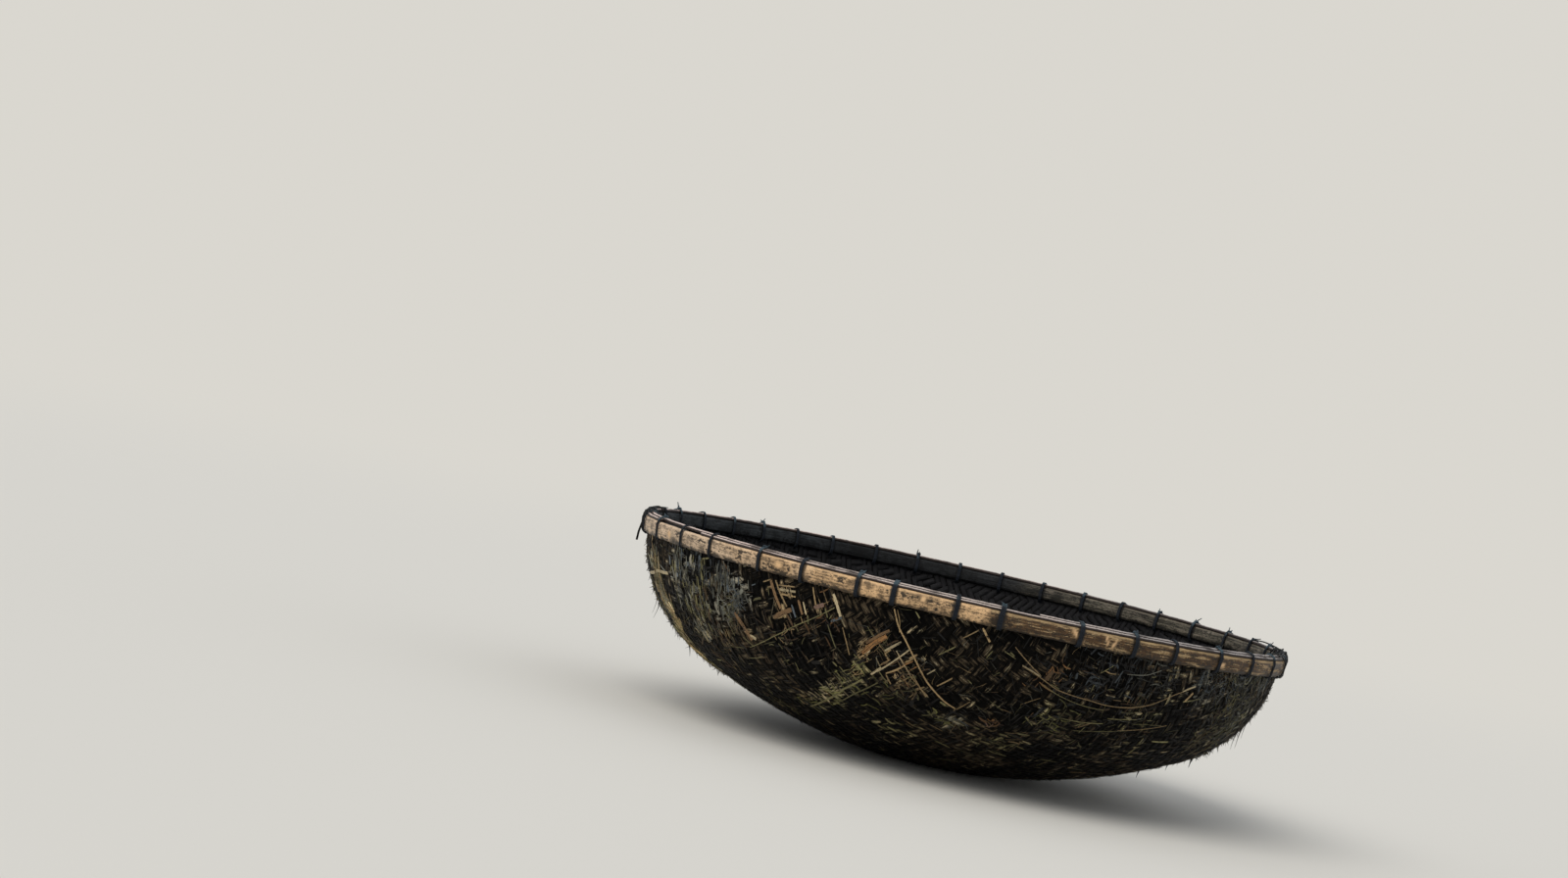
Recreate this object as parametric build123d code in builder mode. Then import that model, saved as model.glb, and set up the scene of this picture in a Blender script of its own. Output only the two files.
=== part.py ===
from build123d import *
import os
from math import acos, atan2, cos, degrees, hypot, pi, radians, sin, sqrt, tan

# Round woven basket boat, in millimetres. The origin is the middle of the flat foot, on the floor,
# +Z is up, and the gunwale is a level circle about the Z axis. Azimuth 0 is +X and 90 is +Y.

# Form of the basket wall: a flat foot, a shallow round bottom, a tight bilge and a straight wall
gunwale_radius = 984.0       # outer face of the wall at the top edge of the outer lath
gunwale_height = 545.0       # top edge of the outer lath above the floor
wall_thickness = 7.0         # woven strips with their tar
foot_radius = 220.0          # worn flat, the boat stands on it
bottom_radius = 1600.0       # the bottom is part of a sphere centred above the foot
wall_lean = 8.0              # the straight wall leans this far outward from upright
wall_run = 60.0              # straight wall below the gunwale's top edge, along the slope
wall_top_drop = 2.0          # the basket's trimmed edge below the lath's top edge

# Gunwale: split bamboo laths clamp the wall between them, thin half round strips cap the joint
seat = 0.3                   # gap between a piece and what it is tied against
butt_gap = 2.0               # between the ends of two lengths of lath
outer_lath_height = 50.0
outer_lath_middle = 14.7     # thickness at the crown of the bamboo's bulging face
outer_lath_edge = 9.0        # thickness at the top and bottom edges
outer_lath_flat = 24.0       # height of the crown, the face falls away above and below it
outer_lath_joints = (-66.5, 113.0)
inner_lath_height = 42.0
inner_lath_middle = 12.0
inner_lath_edge = 7.5
inner_lath_flat = 20.0
inner_lath_rise = 2.0        # its top edge above the outer lath's
inner_lath_joints = (40.2, -147.2)
cap_strip_width = 12.0
cap_strip_edge = 4.0         # straight sides below the shoulders
cap_strip_flat = 5.0         # width of the top between the shoulders
outer_cap_height = 9.2
outer_cap_joints = (-158.0, 30.1)
inner_cap_height = 10.7
inner_cap_joints = (100.1, -82.9)
cap_strip_gap = 1.0          # between the two strips
cap_inset = 1.0              # the outer strip's edge behind the outer lath's round face

# Cord lashings round the gunwale, each a band of turns that passes through the wall
lashing_cord = 4.5
lashings = {                 # sector of the rim: (azimuth, width of the band of turns)
    "near_left": ((-169.5, 12), (-158.0, 9), (-147.2, 9), (-138.1, 10), (-126.2, 12),
                  (-117.3, 14), (-107.1, 15), (-100.9, 17), (-90.5, 16)),
    "near_right": ((-82.9, 18), (-69.5, 17), (-59.3, 16), (-51.1, 14), (-40.0, 15),
                   (-29.8, 13), (-19.8, 12), (-9.5, 12)),
    "far_right": ((1.0, 12), (11.6, 12), (20.5, 12), (30.1, 12), (40.2, 14), (49.7, 14),
                  (58.1, 14), (66.5, 14), (74.9, 14), (83.3, 14)),
    "far_left": ((91.7, 14), (100.1, 14), (108.5, 14), (117.7, 14), (125.7, 12), (134.0, 12),
                 (141.8, 12), (151.5, 12), (161.1, 10), (169.6, 10), (178.6, 12)),
}

# Split bamboo battens that stiffen the bottom inside, one set laid across the other
batten_width = 28.0
batten_thickness = 9.0
batten_spacing = 320.0       # along the bowl, at the middle of their length
battens_each_way = 3
batten_end_gap = 8.0         # along the bowl, from the corners of the outer battens to the tight bilge
tie_cord = 6.0               # the tie over each crossing of two battens
tie_leg_gap = 0.8            # between a tie's leg and the corner of the crossing


# The bilge arc is tangent to the round bottom and to the straight wall, so its radius follows
lean = radians(wall_lean)
wall_start_radius = gunwale_radius - wall_run * sin(lean)
wall_start_height = gunwale_height - wall_run * cos(lean)
bottom_centre = sqrt(bottom_radius**2 - foot_radius**2)
centre_above_wall = bottom_centre - wall_start_height
bilge_radius = (wall_start_radius**2 + centre_above_wall**2 - bottom_radius**2) / (
    2 * (wall_start_radius * cos(lean) + centre_above_wall * sin(lean) - bottom_radius)
)
bilge_centre = (wall_start_radius - bilge_radius * cos(lean), wall_start_height + bilge_radius * sin(lean))
bottom_slope = atan2(bilge_centre[0], bottom_centre - bilge_centre[1])
print(f"bilge radius {bilge_radius:.0f}, from a slope of {degrees(bottom_slope):.1f} degrees")


def hull_curve(depth, top_drop=0):
    """The hull's section line, depth millimetres inside its outer face, from the axis to the gunwale."""
    round_bottom, bilge_turn = bottom_radius - depth, pi / 2 - lean - bottom_slope
    foot_edge = sqrt(round_bottom**2 - (bottom_centre - depth) ** 2)
    bilge_start = (round_bottom * sin(bottom_slope), bottom_centre - round_bottom * cos(bottom_slope))
    foot = Line((0, depth), (foot_edge, depth))
    RadiusArc(foot @ 1, bilge_start, -round_bottom)
    bilge = JernArc(
        start=bilge_start,
        tangent=(cos(bottom_slope), sin(bottom_slope)),
        radius=bilge_radius - depth,
        arc_size=degrees(bilge_turn),
    )
    wall = Line(bilge @ 1, bilge @ 1 + (bilge % 1) * (wall_run - top_drop))
    return foot, wall


def hull_band(low, high, top_drop=0):
    """Section between two hull lines, low and high millimetres inside the outer face."""
    with BuildSketch() as band:
        with BuildLine():
            low_foot, low_wall = hull_curve(low, top_drop)
            high_foot, high_wall = hull_curve(high, top_drop)
            Line(low_foot @ 0, high_foot @ 0)
            Line(low_wall @ 1, high_wall @ 1)
        make_face()
    return band.sketch


def gunwale_plane(azimuth):
    """Radial plane at the gunwale: local x points out of the wall, local y up along it."""
    around = radians(azimuth)
    return Plane(
        origin=(gunwale_radius * cos(around), gunwale_radius * sin(around), gunwale_height),
        x_dir=(cos(lean) * cos(around), cos(lean) * sin(around), -sin(lean)),
        z_dir=(sin(around), -cos(around), 0),
    )


def lath_outline(back, side, top, height, flat, edge, middle):
    """Split bamboo lath with a flat back against the wall and a bulging face away from it."""
    face_edge, crown, fall = back + side * edge, back + side * middle, (height - flat) / 2
    with BuildSketch() as outline:
        with BuildLine():
            Polyline(
                (back, top - height),
                (back, top),
                (face_edge, top),
                (crown, top - fall),
                (crown, top - fall - flat),
                (face_edge, top - height),
                close=True,
            )
        make_face()
    return outline.sketch


def cap_strip_outline(middle, bottom, height):
    """Thin strip with a flat underside, straight sides and a narrower top."""
    left, right = middle - cap_strip_width / 2, middle + cap_strip_width / 2
    shoulder, top = bottom + cap_strip_edge, bottom + height
    with BuildSketch() as outline:
        with BuildLine():
            Polyline(
                (left, bottom),
                (right, bottom),
                (right, shoulder),
                (middle + cap_strip_flat / 2, top),
                (middle - cap_strip_flat / 2, top),
                (left, shoulder),
                close=True,
            )
        make_face()
    return outline.sketch


# Sections of the four gunwale rings, in the gunwale plane
cap_edge = seat + outer_lath_edge - cap_inset
outer_lath_section = lath_outline(
    back=seat,
    side=1,
    top=0,
    height=outer_lath_height,
    flat=outer_lath_flat,
    edge=outer_lath_edge,
    middle=outer_lath_middle,
)
inner_lath_section = lath_outline(
    back=-wall_thickness - seat,
    side=-1,
    top=inner_lath_rise,
    height=inner_lath_height,
    flat=inner_lath_flat,
    edge=inner_lath_edge,
    middle=inner_lath_middle,
)
outer_cap_section = cap_strip_outline(cap_edge - cap_strip_width / 2, seat, outer_cap_height)
inner_cap_section = cap_strip_outline(
    cap_edge - cap_strip_gap - cap_strip_width * 3 / 2, inner_lath_rise + seat, inner_cap_height
)


def taut_ring(low, high):
    """Section of a cord pulled tight round all four gunwale sections, low to high millimetres off them."""
    with BuildSketch() as ring:
        for section in (outer_lath_section, inner_lath_section, outer_cap_section, inner_cap_section):
            add(section)
        make_hull()
        inside = offset(amount=low, kind=Kind.INTERSECTION, mode=Mode.PRIVATE)
        offset(amount=high, kind=Kind.INTERSECTION)
        add(inside, mode=Mode.SUBTRACT)
    return ring.sketch


os.makedirs("parts", exist_ok=True)

# Woven basket, one thin bowl, with a slot through the wall for each lashing
slot_ring = taut_ring(0, lashing_cord + 2 * seat)
with BuildPart() as basket_shell:
    with BuildSketch(Plane.XZ):
        add(hull_band(0, wall_thickness, wall_top_drop))
    revolve(axis=Axis.Z)
    for sector in lashings.values():
        for azimuth, width in sector:
            with BuildSketch(gunwale_plane(azimuth)):
                add(slot_ring)
            extrude(amount=width / 2 + seat, both=True, mode=Mode.SUBTRACT)
basket_shell.part.label = "basket_shell"
export_step(basket_shell.part, "parts/basket_shell.step")

# Gunwale laths and cap strips, each ring in two lengths
gunwale_rings = (            # name, section, joints
    ("outer_lath", outer_lath_section, outer_lath_joints),
    ("inner_lath", inner_lath_section, inner_lath_joints),
    ("outer_cap_strip", outer_cap_section, outer_cap_joints),
    ("inner_cap_strip", inner_cap_section, inner_cap_joints),
)
joint_angle = degrees(butt_gap / 2 / gunwale_radius)
for ring_name, section, joints in gunwale_rings:
    for number, (start, end) in enumerate((joints, joints[::-1]), start=1):
        with BuildPart() as length:
            with BuildSketch(gunwale_plane(start + joint_angle)):
                add(section)
            revolve(axis=Axis.Z, revolution_arc=(end - start) % 360 - 2 * joint_angle)
        length.part.label = f"{ring_name}_{number}"
        export_step(length.part, f"parts/{ring_name}_{number}.step")

# Lashings, one node for each quarter of the rim
cord_ring = taut_ring(seat, seat + lashing_cord)
for sector_name, sector in lashings.items():
    with BuildPart() as quarter:
        for azimuth, width in sector:
            with BuildSketch(gunwale_plane(azimuth)):
                add(cord_ring)
            extrude(amount=width / 2, both=True)
    quarter.part.label = f"lashings_{sector_name}"
    export_step(quarter.part, f"parts/lashings_{sector_name}.step")

# Bottom battens, bent to the bowl: the long set lies on the basket, the cross set on the long set.
# A flat batten bends along a great circle, so each lies in a plane through the middle of the sphere.
sphere_middle = Vector(0, 0, bottom_centre)
batten_tilts = [
    batten_spacing / bottom_radius * (n - (battens_each_way - 1) / 2) for n in range(battens_each_way)
]
long_depth = wall_thickness + seat
cross_depth = long_depth + batten_thickness + seat
strap_depth = cross_depth + batten_thickness + seat
outer_edge_tilt = batten_tilts[-1] + batten_width / 2 / bottom_radius
half_swing = acos(cos(bottom_slope) / cos(outer_edge_tilt)) - batten_end_gap / bottom_radius
batten_length = 2 * (bottom_radius - long_depth) * sin(half_swing)
print(f"battens {batten_length:.0f} mm long from end to end")


def reach_to_wall(depth, tilt):
    """From the sphere's middle to depth millimetres inside the hull: the round bottom or the flat foot."""
    return min(bottom_radius - depth, (bottom_centre - depth) / cos(tilt))


def bowl_slice(depth, tilt):
    """What the bowl holds above that depth, in a plane through the sphere's middle."""
    with BuildSketch() as inside:
        Circle(bottom_radius - depth)
        with Locations((0, (depth - bottom_centre) / cos(tilt))):
            Rectangle(2 * bottom_radius, bottom_radius, align=(Align.CENTER, Align.MIN), mode=Mode.INTERSECT)
    return inside.sketch


for set_name, depth, heading in (("long", long_depth, 0), ("cross", cross_depth, pi / 2)):
    for number, tilt in enumerate(batten_tilts, start=1):
        great_circle = Plane(
            origin=sphere_middle,
            x_dir=(cos(heading), sin(heading), 0),
            z_dir=(cos(tilt) * sin(heading), -cos(tilt) * cos(heading), -sin(tilt)),
        )
        with BuildPart() as batten:
            with BuildSketch(great_circle):
                Rectangle(batten_length, bottom_radius, align=(Align.CENTER, Align.MAX))
                add(bowl_slice(depth, tilt), mode=Mode.INTERSECT)
                add(bowl_slice(depth + batten_thickness, tilt), mode=Mode.SUBTRACT)
            extrude(amount=batten_width / 2, both=True)
        batten.part.label = f"{set_name}_batten_{number}"
        export_step(batten.part, f"parts/{set_name}_batten_{number}.step")

# Ties over the crossings of the battens: each strap runs corner to corner, its legs down to the basket
leg_inside = batten_width / sqrt(2) + tie_cord / 2 + tie_leg_gap
leg_outside = leg_inside + tie_cord
with BuildPart() as batten_ties:
    for long_tilt in batten_tilts:
        for cross_tilt in batten_tilts:
            upward = Vector(tan(cross_tilt), -tan(long_tilt), 1).normalized()
            corners = Vector(1, 1, 0) - upward * upward.dot(Vector(1, 1, 0))
            slope = atan2(hypot(upward.X, upward.Y), upward.Z)
            leg_end = -reach_to_wall(0, slope)
            underside = -reach_to_wall(strap_depth, slope)
            with BuildSketch(Plane(sphere_middle, x_dir=corners, z_dir=corners.cross(upward))):
                with BuildLine():
                    Polyline(
                        (-leg_outside, leg_end),
                        (-leg_outside, underside),
                        (-leg_inside, underside + tie_cord),
                        (leg_inside, underside + tie_cord),
                        (leg_outside, underside),
                        (leg_outside, leg_end),
                        (leg_inside, leg_end),
                        (leg_inside, underside),
                        (-leg_inside, underside),
                        (-leg_inside, leg_end),
                        close=True,
                    )
                make_face()
            extrude(amount=tie_cord / 2, both=True)
    with BuildSketch(Plane.XZ):
        with BuildLine():
            inner_foot, inner_wall = hull_curve(long_depth)
            Polyline(inner_wall @ 1, (0, gunwale_height), inner_foot @ 0)
        make_face()
    revolve(axis=Axis.Z, mode=Mode.INTERSECT)
batten_ties.part.label = "batten_ties"
export_step(batten_ties.part, "parts/batten_ties.step")
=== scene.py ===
# %% [markdown]
# A round basket boat is a bowl woven from flat bamboo strips and painted with tar. Its rim is stiffened
# by split bamboo laths that are tied on with cord. In this lesson the packed model of the boat is the fixed
# frame, and each of its parts gets its real surface: woven strips, bamboo with nodes, turns of cord.

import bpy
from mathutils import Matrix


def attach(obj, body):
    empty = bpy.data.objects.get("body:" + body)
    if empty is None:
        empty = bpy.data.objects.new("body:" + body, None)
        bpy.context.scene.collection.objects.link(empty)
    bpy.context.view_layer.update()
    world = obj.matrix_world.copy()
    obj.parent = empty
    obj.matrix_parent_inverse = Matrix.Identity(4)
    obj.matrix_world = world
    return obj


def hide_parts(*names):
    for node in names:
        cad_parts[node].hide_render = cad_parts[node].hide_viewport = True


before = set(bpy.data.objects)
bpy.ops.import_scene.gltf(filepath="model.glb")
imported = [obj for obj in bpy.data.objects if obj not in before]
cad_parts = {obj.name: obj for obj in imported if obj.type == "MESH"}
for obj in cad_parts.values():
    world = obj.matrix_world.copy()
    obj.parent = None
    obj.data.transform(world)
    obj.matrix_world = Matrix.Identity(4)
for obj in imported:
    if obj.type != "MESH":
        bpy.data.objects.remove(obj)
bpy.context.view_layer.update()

# %% Libraries
from math import asin, atan2, cos, degrees, hypot, pi, radians, sin, sqrt

import bmesh
import bpy
import numpy as np
from mathutils import Matrix, Vector

print("Blender", bpy.app.version_string)

# %% [markdown]
# The boat in the photograph is tilted. Here it stands level, so the camera is rolled instead, by the angle
# that the rim makes with the picture's edge. It looks along +Y from 12 metres away, a little above the rim.
# A camera can be placed by eye, but what was measured in the picture gives it directly: one rotation rolls
# it, and a second one moves the boat from the middle to its place in the picture.

# %% Camera
picture = (1600, 896)
rim_in_picture = (984.6, 596.6)      # pixel of the middle of the rim
half_rim_pixels = 334.6
camera_distance = 12.0
camera_above_rim = radians(2.83)
camera_roll = radians(12.84)
rim_radius, rim_height = 0.984, 0.545
widest_radius = 0.998

camera_data = bpy.data.cameras.new("camera")
camera = bpy.data.objects.new("camera", camera_data)
bpy.context.scene.collection.objects.link(camera)
bpy.context.scene.camera = camera
focal_pixels = half_rim_pixels * camera_distance / widest_radius
camera_data.lens = focal_pixels * camera_data.sensor_width / picture[0]
camera_data.clip_end = 400
look = Vector((0, cos(camera_above_rim), -sin(camera_above_rim)))
camera_place = Vector((0, 0, rim_height)) - camera_distance * look
level = look.to_track_quat("-Z", "Y").to_matrix()
off_middle = Vector((rim_in_picture[0] - picture[0] / 2, picture[1] / 2 - rim_in_picture[1], -focal_pixels))
aim = off_middle.rotation_difference(Vector((0, 0, -1))).to_matrix()
turned = level @ Matrix.Rotation(camera_roll, 3, "Z") @ aim
camera.matrix_world = Matrix.Translation(camera_place) @ turned.to_4x4()
print(f"lens {camera_data.lens:.1f} mm, camera {camera_place.z:.2f} m above the floor")

# %% [markdown]
# A procedural finish is a tree of nodes that works out a colour at every point of a surface. Wiring the
# nodes one by one hides what they say, so two small classes do the wiring. One stands for a value inside a
# finish, and arithmetic on it adds Math nodes. The other is the finish itself, with a short method for each
# kind of node that this boat needs.

# %% Values in a finish
class Value:
    """A socket in a finish. Arithmetic on it adds the Math nodes."""

    def __init__(self, finish, socket):
        self.finish = finish
        self.socket = socket

    def maths(self, operation, first, second):
        return self.finish.node("ShaderNodeMath", {"operation": operation}, {0: first, 1: second})

    def __add__(self, other):
        return self.maths("ADD", self, other)

    def __sub__(self, other):
        return self.maths("SUBTRACT", self, other)

    def __mul__(self, other):
        return self.maths("MULTIPLY", self, other)

    def __truediv__(self, other):
        return self.maths("DIVIDE", self, other)

    def __rsub__(self, other):
        return self.maths("SUBTRACT", other, self)

    __radd__ = __add__
    __rmul__ = __mul__


print("a value can be added, subtracted, multiplied and divided")

# %% Finishes
one_layer_spread = 0.38              # how far one layer of noise strays from its middle


class Finish:
    """A material and short ways to add nodes to it."""

    def __init__(self, name, **surface):
        self.material = bpy.data.materials.new(name)
        self.material.use_nodes = True
        self.tree = self.material.node_tree
        self.shader = self.tree.nodes["Principled BSDF"]
        self.surface(**surface)

    def feed(self, socket, value):
        """Links a value to a socket, or sets the socket to a colour or a number."""
        if isinstance(value, Value):
            self.tree.links.new(value.socket, socket)
        elif socket.type == "RGBA":
            socket.default_value = (*value, 1)
        else:
            socket.default_value = value

    def surface(self, **sockets):
        """Feeds the shader's own sockets, named in small letters: base_color, roughness, normal."""
        named = {socket.name.lower().replace(" ", "_"): socket for socket in self.shader.inputs}
        for name, value in sockets.items():
            self.feed(named[name], value)

    def node(self, kind, settings=None, sockets=None, output=0):
        """Any node: its settings come first, then what its sockets get."""
        node = self.tree.nodes.new(kind)
        for name, value in (settings or {}).items():
            setattr(node, name, value)
        for name, value in (sockets or {}).items():
            self.feed(node.inputs[name], value)
        return Value(self, node.outputs[output])

    def place(self):
        """Where a point is on the boat, in metres."""
        return self.node("ShaderNodeTexCoord", output="Object")

    def along(self):
        """Where a point is on a long piece: along it and across it."""
        return self.node("ShaderNodeUVMap", {"uv_map": "along"})

    def attribute(self, name):
        return self.node("ShaderNodeAttribute", {"attribute_name": name}, output="Color")

    def parts(self, vector):
        """The three numbers of a place or a colour."""
        return [self.node("ShaderNodeSeparateXYZ", {}, {0: vector}, output=n) for n in range(3)]

    def scaled(self, vector, scale):
        return self.node("ShaderNodeMapping", {}, {"Vector": vector, "Scale": scale})

    def noise(self, vector, scale, detail=3, roughness=0.55):
        """Noise stretched to fill 0 to 1: the more layers it adds up, the more they level each other out."""
        sockets = {"Vector": vector, "Scale": scale, "Detail": detail, "Roughness": roughness}
        value = self.node("ShaderNodeTexNoise", {}, sockets)
        layers = [roughness**n for n in range(detail + 1)]
        half = one_layer_spread * sqrt(sum(layer**2 for layer in layers)) / sum(layers)
        sockets = {"Value": value, "From Min": 0.5 - half, "From Max": 0.5 + half}
        return self.node("ShaderNodeMapRange", {"clamp": False}, sockets)

    def apply(self, operation, value):
        """A Math node with one input, such as SINE, FLOOR or ABSOLUTE."""
        return self.node("ShaderNodeMath", {"operation": operation}, {0: value})

    def chance(self, vector):
        """A number from 0 to 1 by chance, the same wherever the vector is the same."""
        return self.node("ShaderNodeTexWhiteNoise", {"noise_dimensions": "3D"}, {"Vector": vector})

    def between(self, value, low, high):
        """0 up to low, 1 from high on, and a smooth step between them."""
        sockets = {"Value": value, "From Min": low, "From Max": high}
        return self.node("ShaderNodeMapRange", {"interpolation_type": "SMOOTHSTEP"}, sockets)

    def mix(self, factor, first, second):
        """The first colour where the factor is 0, and the second where it is 1."""
        settings = {"data_type": "RGBA"}
        return self.node("ShaderNodeMix", settings, {0: factor, 6: first, 7: second}, output=2)

    def bump(self, height, depth):
        """Fine relief, depth metres deep."""
        return self.node("ShaderNodeBump", {}, {"Height": height, "Distance": depth})


print("a finish can add:", *[name for name in vars(Finish) if not name.startswith("_")])

# %% [markdown]
# Light for a plain look at the boat: an even pale sky and one very soft lamp, together at a level at which
# a colour renders about as it is written. The floor fades into the background far away, so no horizon shows.

# %% Floor
pale = (0.70, 0.68, 0.63)
near_floor, far_floor, floor_radius = 4.0, 14.0, 60
bpy.ops.object.select_all(action="DESELECT")
bpy.ops.mesh.primitive_circle_add(vertices=96, radius=floor_radius, fill_type="NGON", location=(0, 0, 0))
floor = bpy.context.object
floor.name = "floor"
ground = Finish("pale_floor", base_color=pale, roughness=0.9)
glow = ground.node("ShaderNodeEmission", {}, {"Color": pale})
distance = ground.node("ShaderNodeVectorMath", {"operation": "LENGTH"}, {0: ground.place()}, output="Value")
fade = ground.between(distance, near_floor, far_floor)
sockets = {0: fade, 1: Value(ground, ground.shader.outputs[0]), 2: glow}
faded_and_highlight = ground.node("ShaderNodeMixShader", {}, sockets)
ground.tree.links.new(faded_and_highlight.socket, ground.tree.nodes["Material Output"].inputs["Surface"])
floor.data.materials.append(ground.material)
print("floor of", len(floor.data.polygons), "face")

# %% Sky
world = bpy.data.worlds.new("sky")
bpy.context.scene.world = world
world.use_nodes = True
sky = world.node_tree
light = sky.nodes["Background"]
light.inputs["Color"].default_value = (0.93, 0.96, 1.0, 1)
light.inputs["Strength"].default_value = 0.62
backdrop = sky.nodes.new("ShaderNodeBackground")
backdrop.inputs["Color"].default_value = (*pale, 1)
rays = sky.nodes.new("ShaderNodeLightPath")
choice = sky.nodes.new("ShaderNodeMixShader")
sky.links.new(rays.outputs["Is Camera Ray"], choice.inputs[0])
sky.links.new(light.outputs[0], choice.inputs[1])
sky.links.new(backdrop.outputs[0], choice.inputs[2])
sky.links.new(choice.outputs[0], sky.nodes["World Output"].inputs["Surface"])
print(len(sky.nodes), "nodes in the sky")

# %% Lamp
lamp_data = bpy.data.lights.new("soft_lamp", "SUN")
lamp_data.energy = 1.6
lamp_data.angle = radians(50)
lamp_data.color = (1.0, 0.965, 0.91)
lamp = bpy.data.objects.new("soft_lamp", lamp_data)
bpy.context.scene.collection.objects.link(lamp)
lamp.rotation_euler = Vector((0.45, 0.75, -1.0)).to_track_quat("-Z", "Y").to_euler()
bpy.context.scene.view_settings.view_transform = "Standard"
print("lamp of", round(lamp_data.energy, 1), "watts a square metre")

# %% [markdown]
# Everything on the hull lies on one surface of revolution. A woven mat is flat before it is pressed into
# the bowl, so a place on the hull is given as a place on that flat mat: the distance from the mat's middle
# is measured along the hull, and the direction is the azimuth. Straight strips on the mat then bend over
# the bowl as they do in the real basket.

# %% The hull's surface
wall_thickness = 0.007
foot_radius, bottom_radius = 0.220, 1.600
lean = radians(8)
wall_run = 0.060
mat_turn = radians(-57)              # direction of one set of strips
wall_start = (rim_radius - wall_run * sin(lean), rim_height - wall_run * cos(lean))
bottom_centre = sqrt(bottom_radius**2 - foot_radius**2)
above_wall = bottom_centre - wall_start[1]
bilge_radius = (wall_start[0] ** 2 + above_wall**2 - bottom_radius**2) / (
    2 * (wall_start[0] * cos(lean) + above_wall * sin(lean) - bottom_radius)
)
bilge_centre = (wall_start[0] - bilge_radius * cos(lean), wall_start[1] + bilge_radius * sin(lean))
foot_slope = asin(foot_radius / bottom_radius)
bottom_slope = atan2(bilge_centre[0], bottom_centre - bilge_centre[1])
bottom_end = foot_radius + (bottom_slope - foot_slope) * bottom_radius
bilge_end = bottom_end + (pi / 2 - lean - bottom_slope) * bilge_radius
mat_inset = 0.004                    # the mat ends this far below the rim, in metres
mat_radius = bilge_end + wall_run - mat_inset


def hull_line(run):
    """Radius, height and slope of the hull's outer face, run metres out from its middle."""
    run = np.asarray(run, float)
    stretch = [run < foot_radius, run < bottom_end, run < bilge_end]
    on_bottom = foot_slope + (run - foot_radius) / bottom_radius
    on_bilge = bottom_slope + (run - bottom_end) / bilge_radius
    slope = np.select(stretch, [0 * run, on_bottom, on_bilge], pi / 2 - lean)
    bottom = (bottom_radius * np.sin(slope), bottom_centre - bottom_radius * np.cos(slope))
    bilge = (bilge_centre[0] + bilge_radius * np.sin(slope), bilge_centre[1] - bilge_radius * np.cos(slope))
    up_wall = run - bilge_end
    radius = np.select(stretch, [run, bottom[0], bilge[0]], wall_start[0] + up_wall * sin(lean))
    height = np.select(stretch, [0 * run, bottom[1], bilge[1]], wall_start[1] + up_wall * cos(lean))
    return radius, height, slope


def on_hull(u, v, depth):
    """Points of the hull for places on the flat mat, depth metres inside the outer face."""
    run, azimuth = np.hypot(u, v), np.arctan2(v, u) + mat_turn
    radius, height, slope = hull_line(run)
    out = radius - depth * np.sin(slope)
    return np.stack([out * np.cos(azimuth), out * np.sin(azimuth), height + depth * np.cos(slope)], -1)


print(f"the mat is {2 * mat_radius:.2f} m across before it is pressed into the bowl")

# %% From a pixel to the hull
runs = np.linspace(0, bilge_end + wall_run, 2000)
line_radius, line_height, _ = hull_line(runs)
search_steps = np.linspace(camera_distance - 1.2, camera_distance + 0.9, 4000)


def seen(x, y):
    """Place on the mat of what the camera sees on the hull's outside at a pixel of the picture."""
    ray = turned @ Vector((x - picture[0] / 2, picture[1] / 2 - y, -focal_pixels)).normalized()
    points = np.array(camera_place) + search_steps[:, None] * np.array(ray)
    reach = np.hypot(points[:, 0], points[:, 1])
    inside = (reach < np.interp(points[:, 2], line_height, line_radius)) & (points[:, 2] < rim_height)
    gap = reach - np.interp(points[:, 2], line_height, line_radius)
    hit = points[inside.argmax() if inside.any() else gap.argmin()]
    run = float(np.interp(hit[2], line_height, runs))
    azimuth = atan2(hit[1], hit[0]) - mat_turn
    return np.array((run * cos(azimuth), run * sin(azimuth)))


print("the bare strip at pixel 893, 655 lies on the mat at", seen(893, 655).round(3))

# %% [markdown]
# Strips, splints and cords are long things with one small section, so one helper gathers them all. It takes
# rows of section points, joins them into a skin, closes the ends and keeps a UV map called along: the first
# number runs along the piece in metres and the second goes round or across it.

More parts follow.
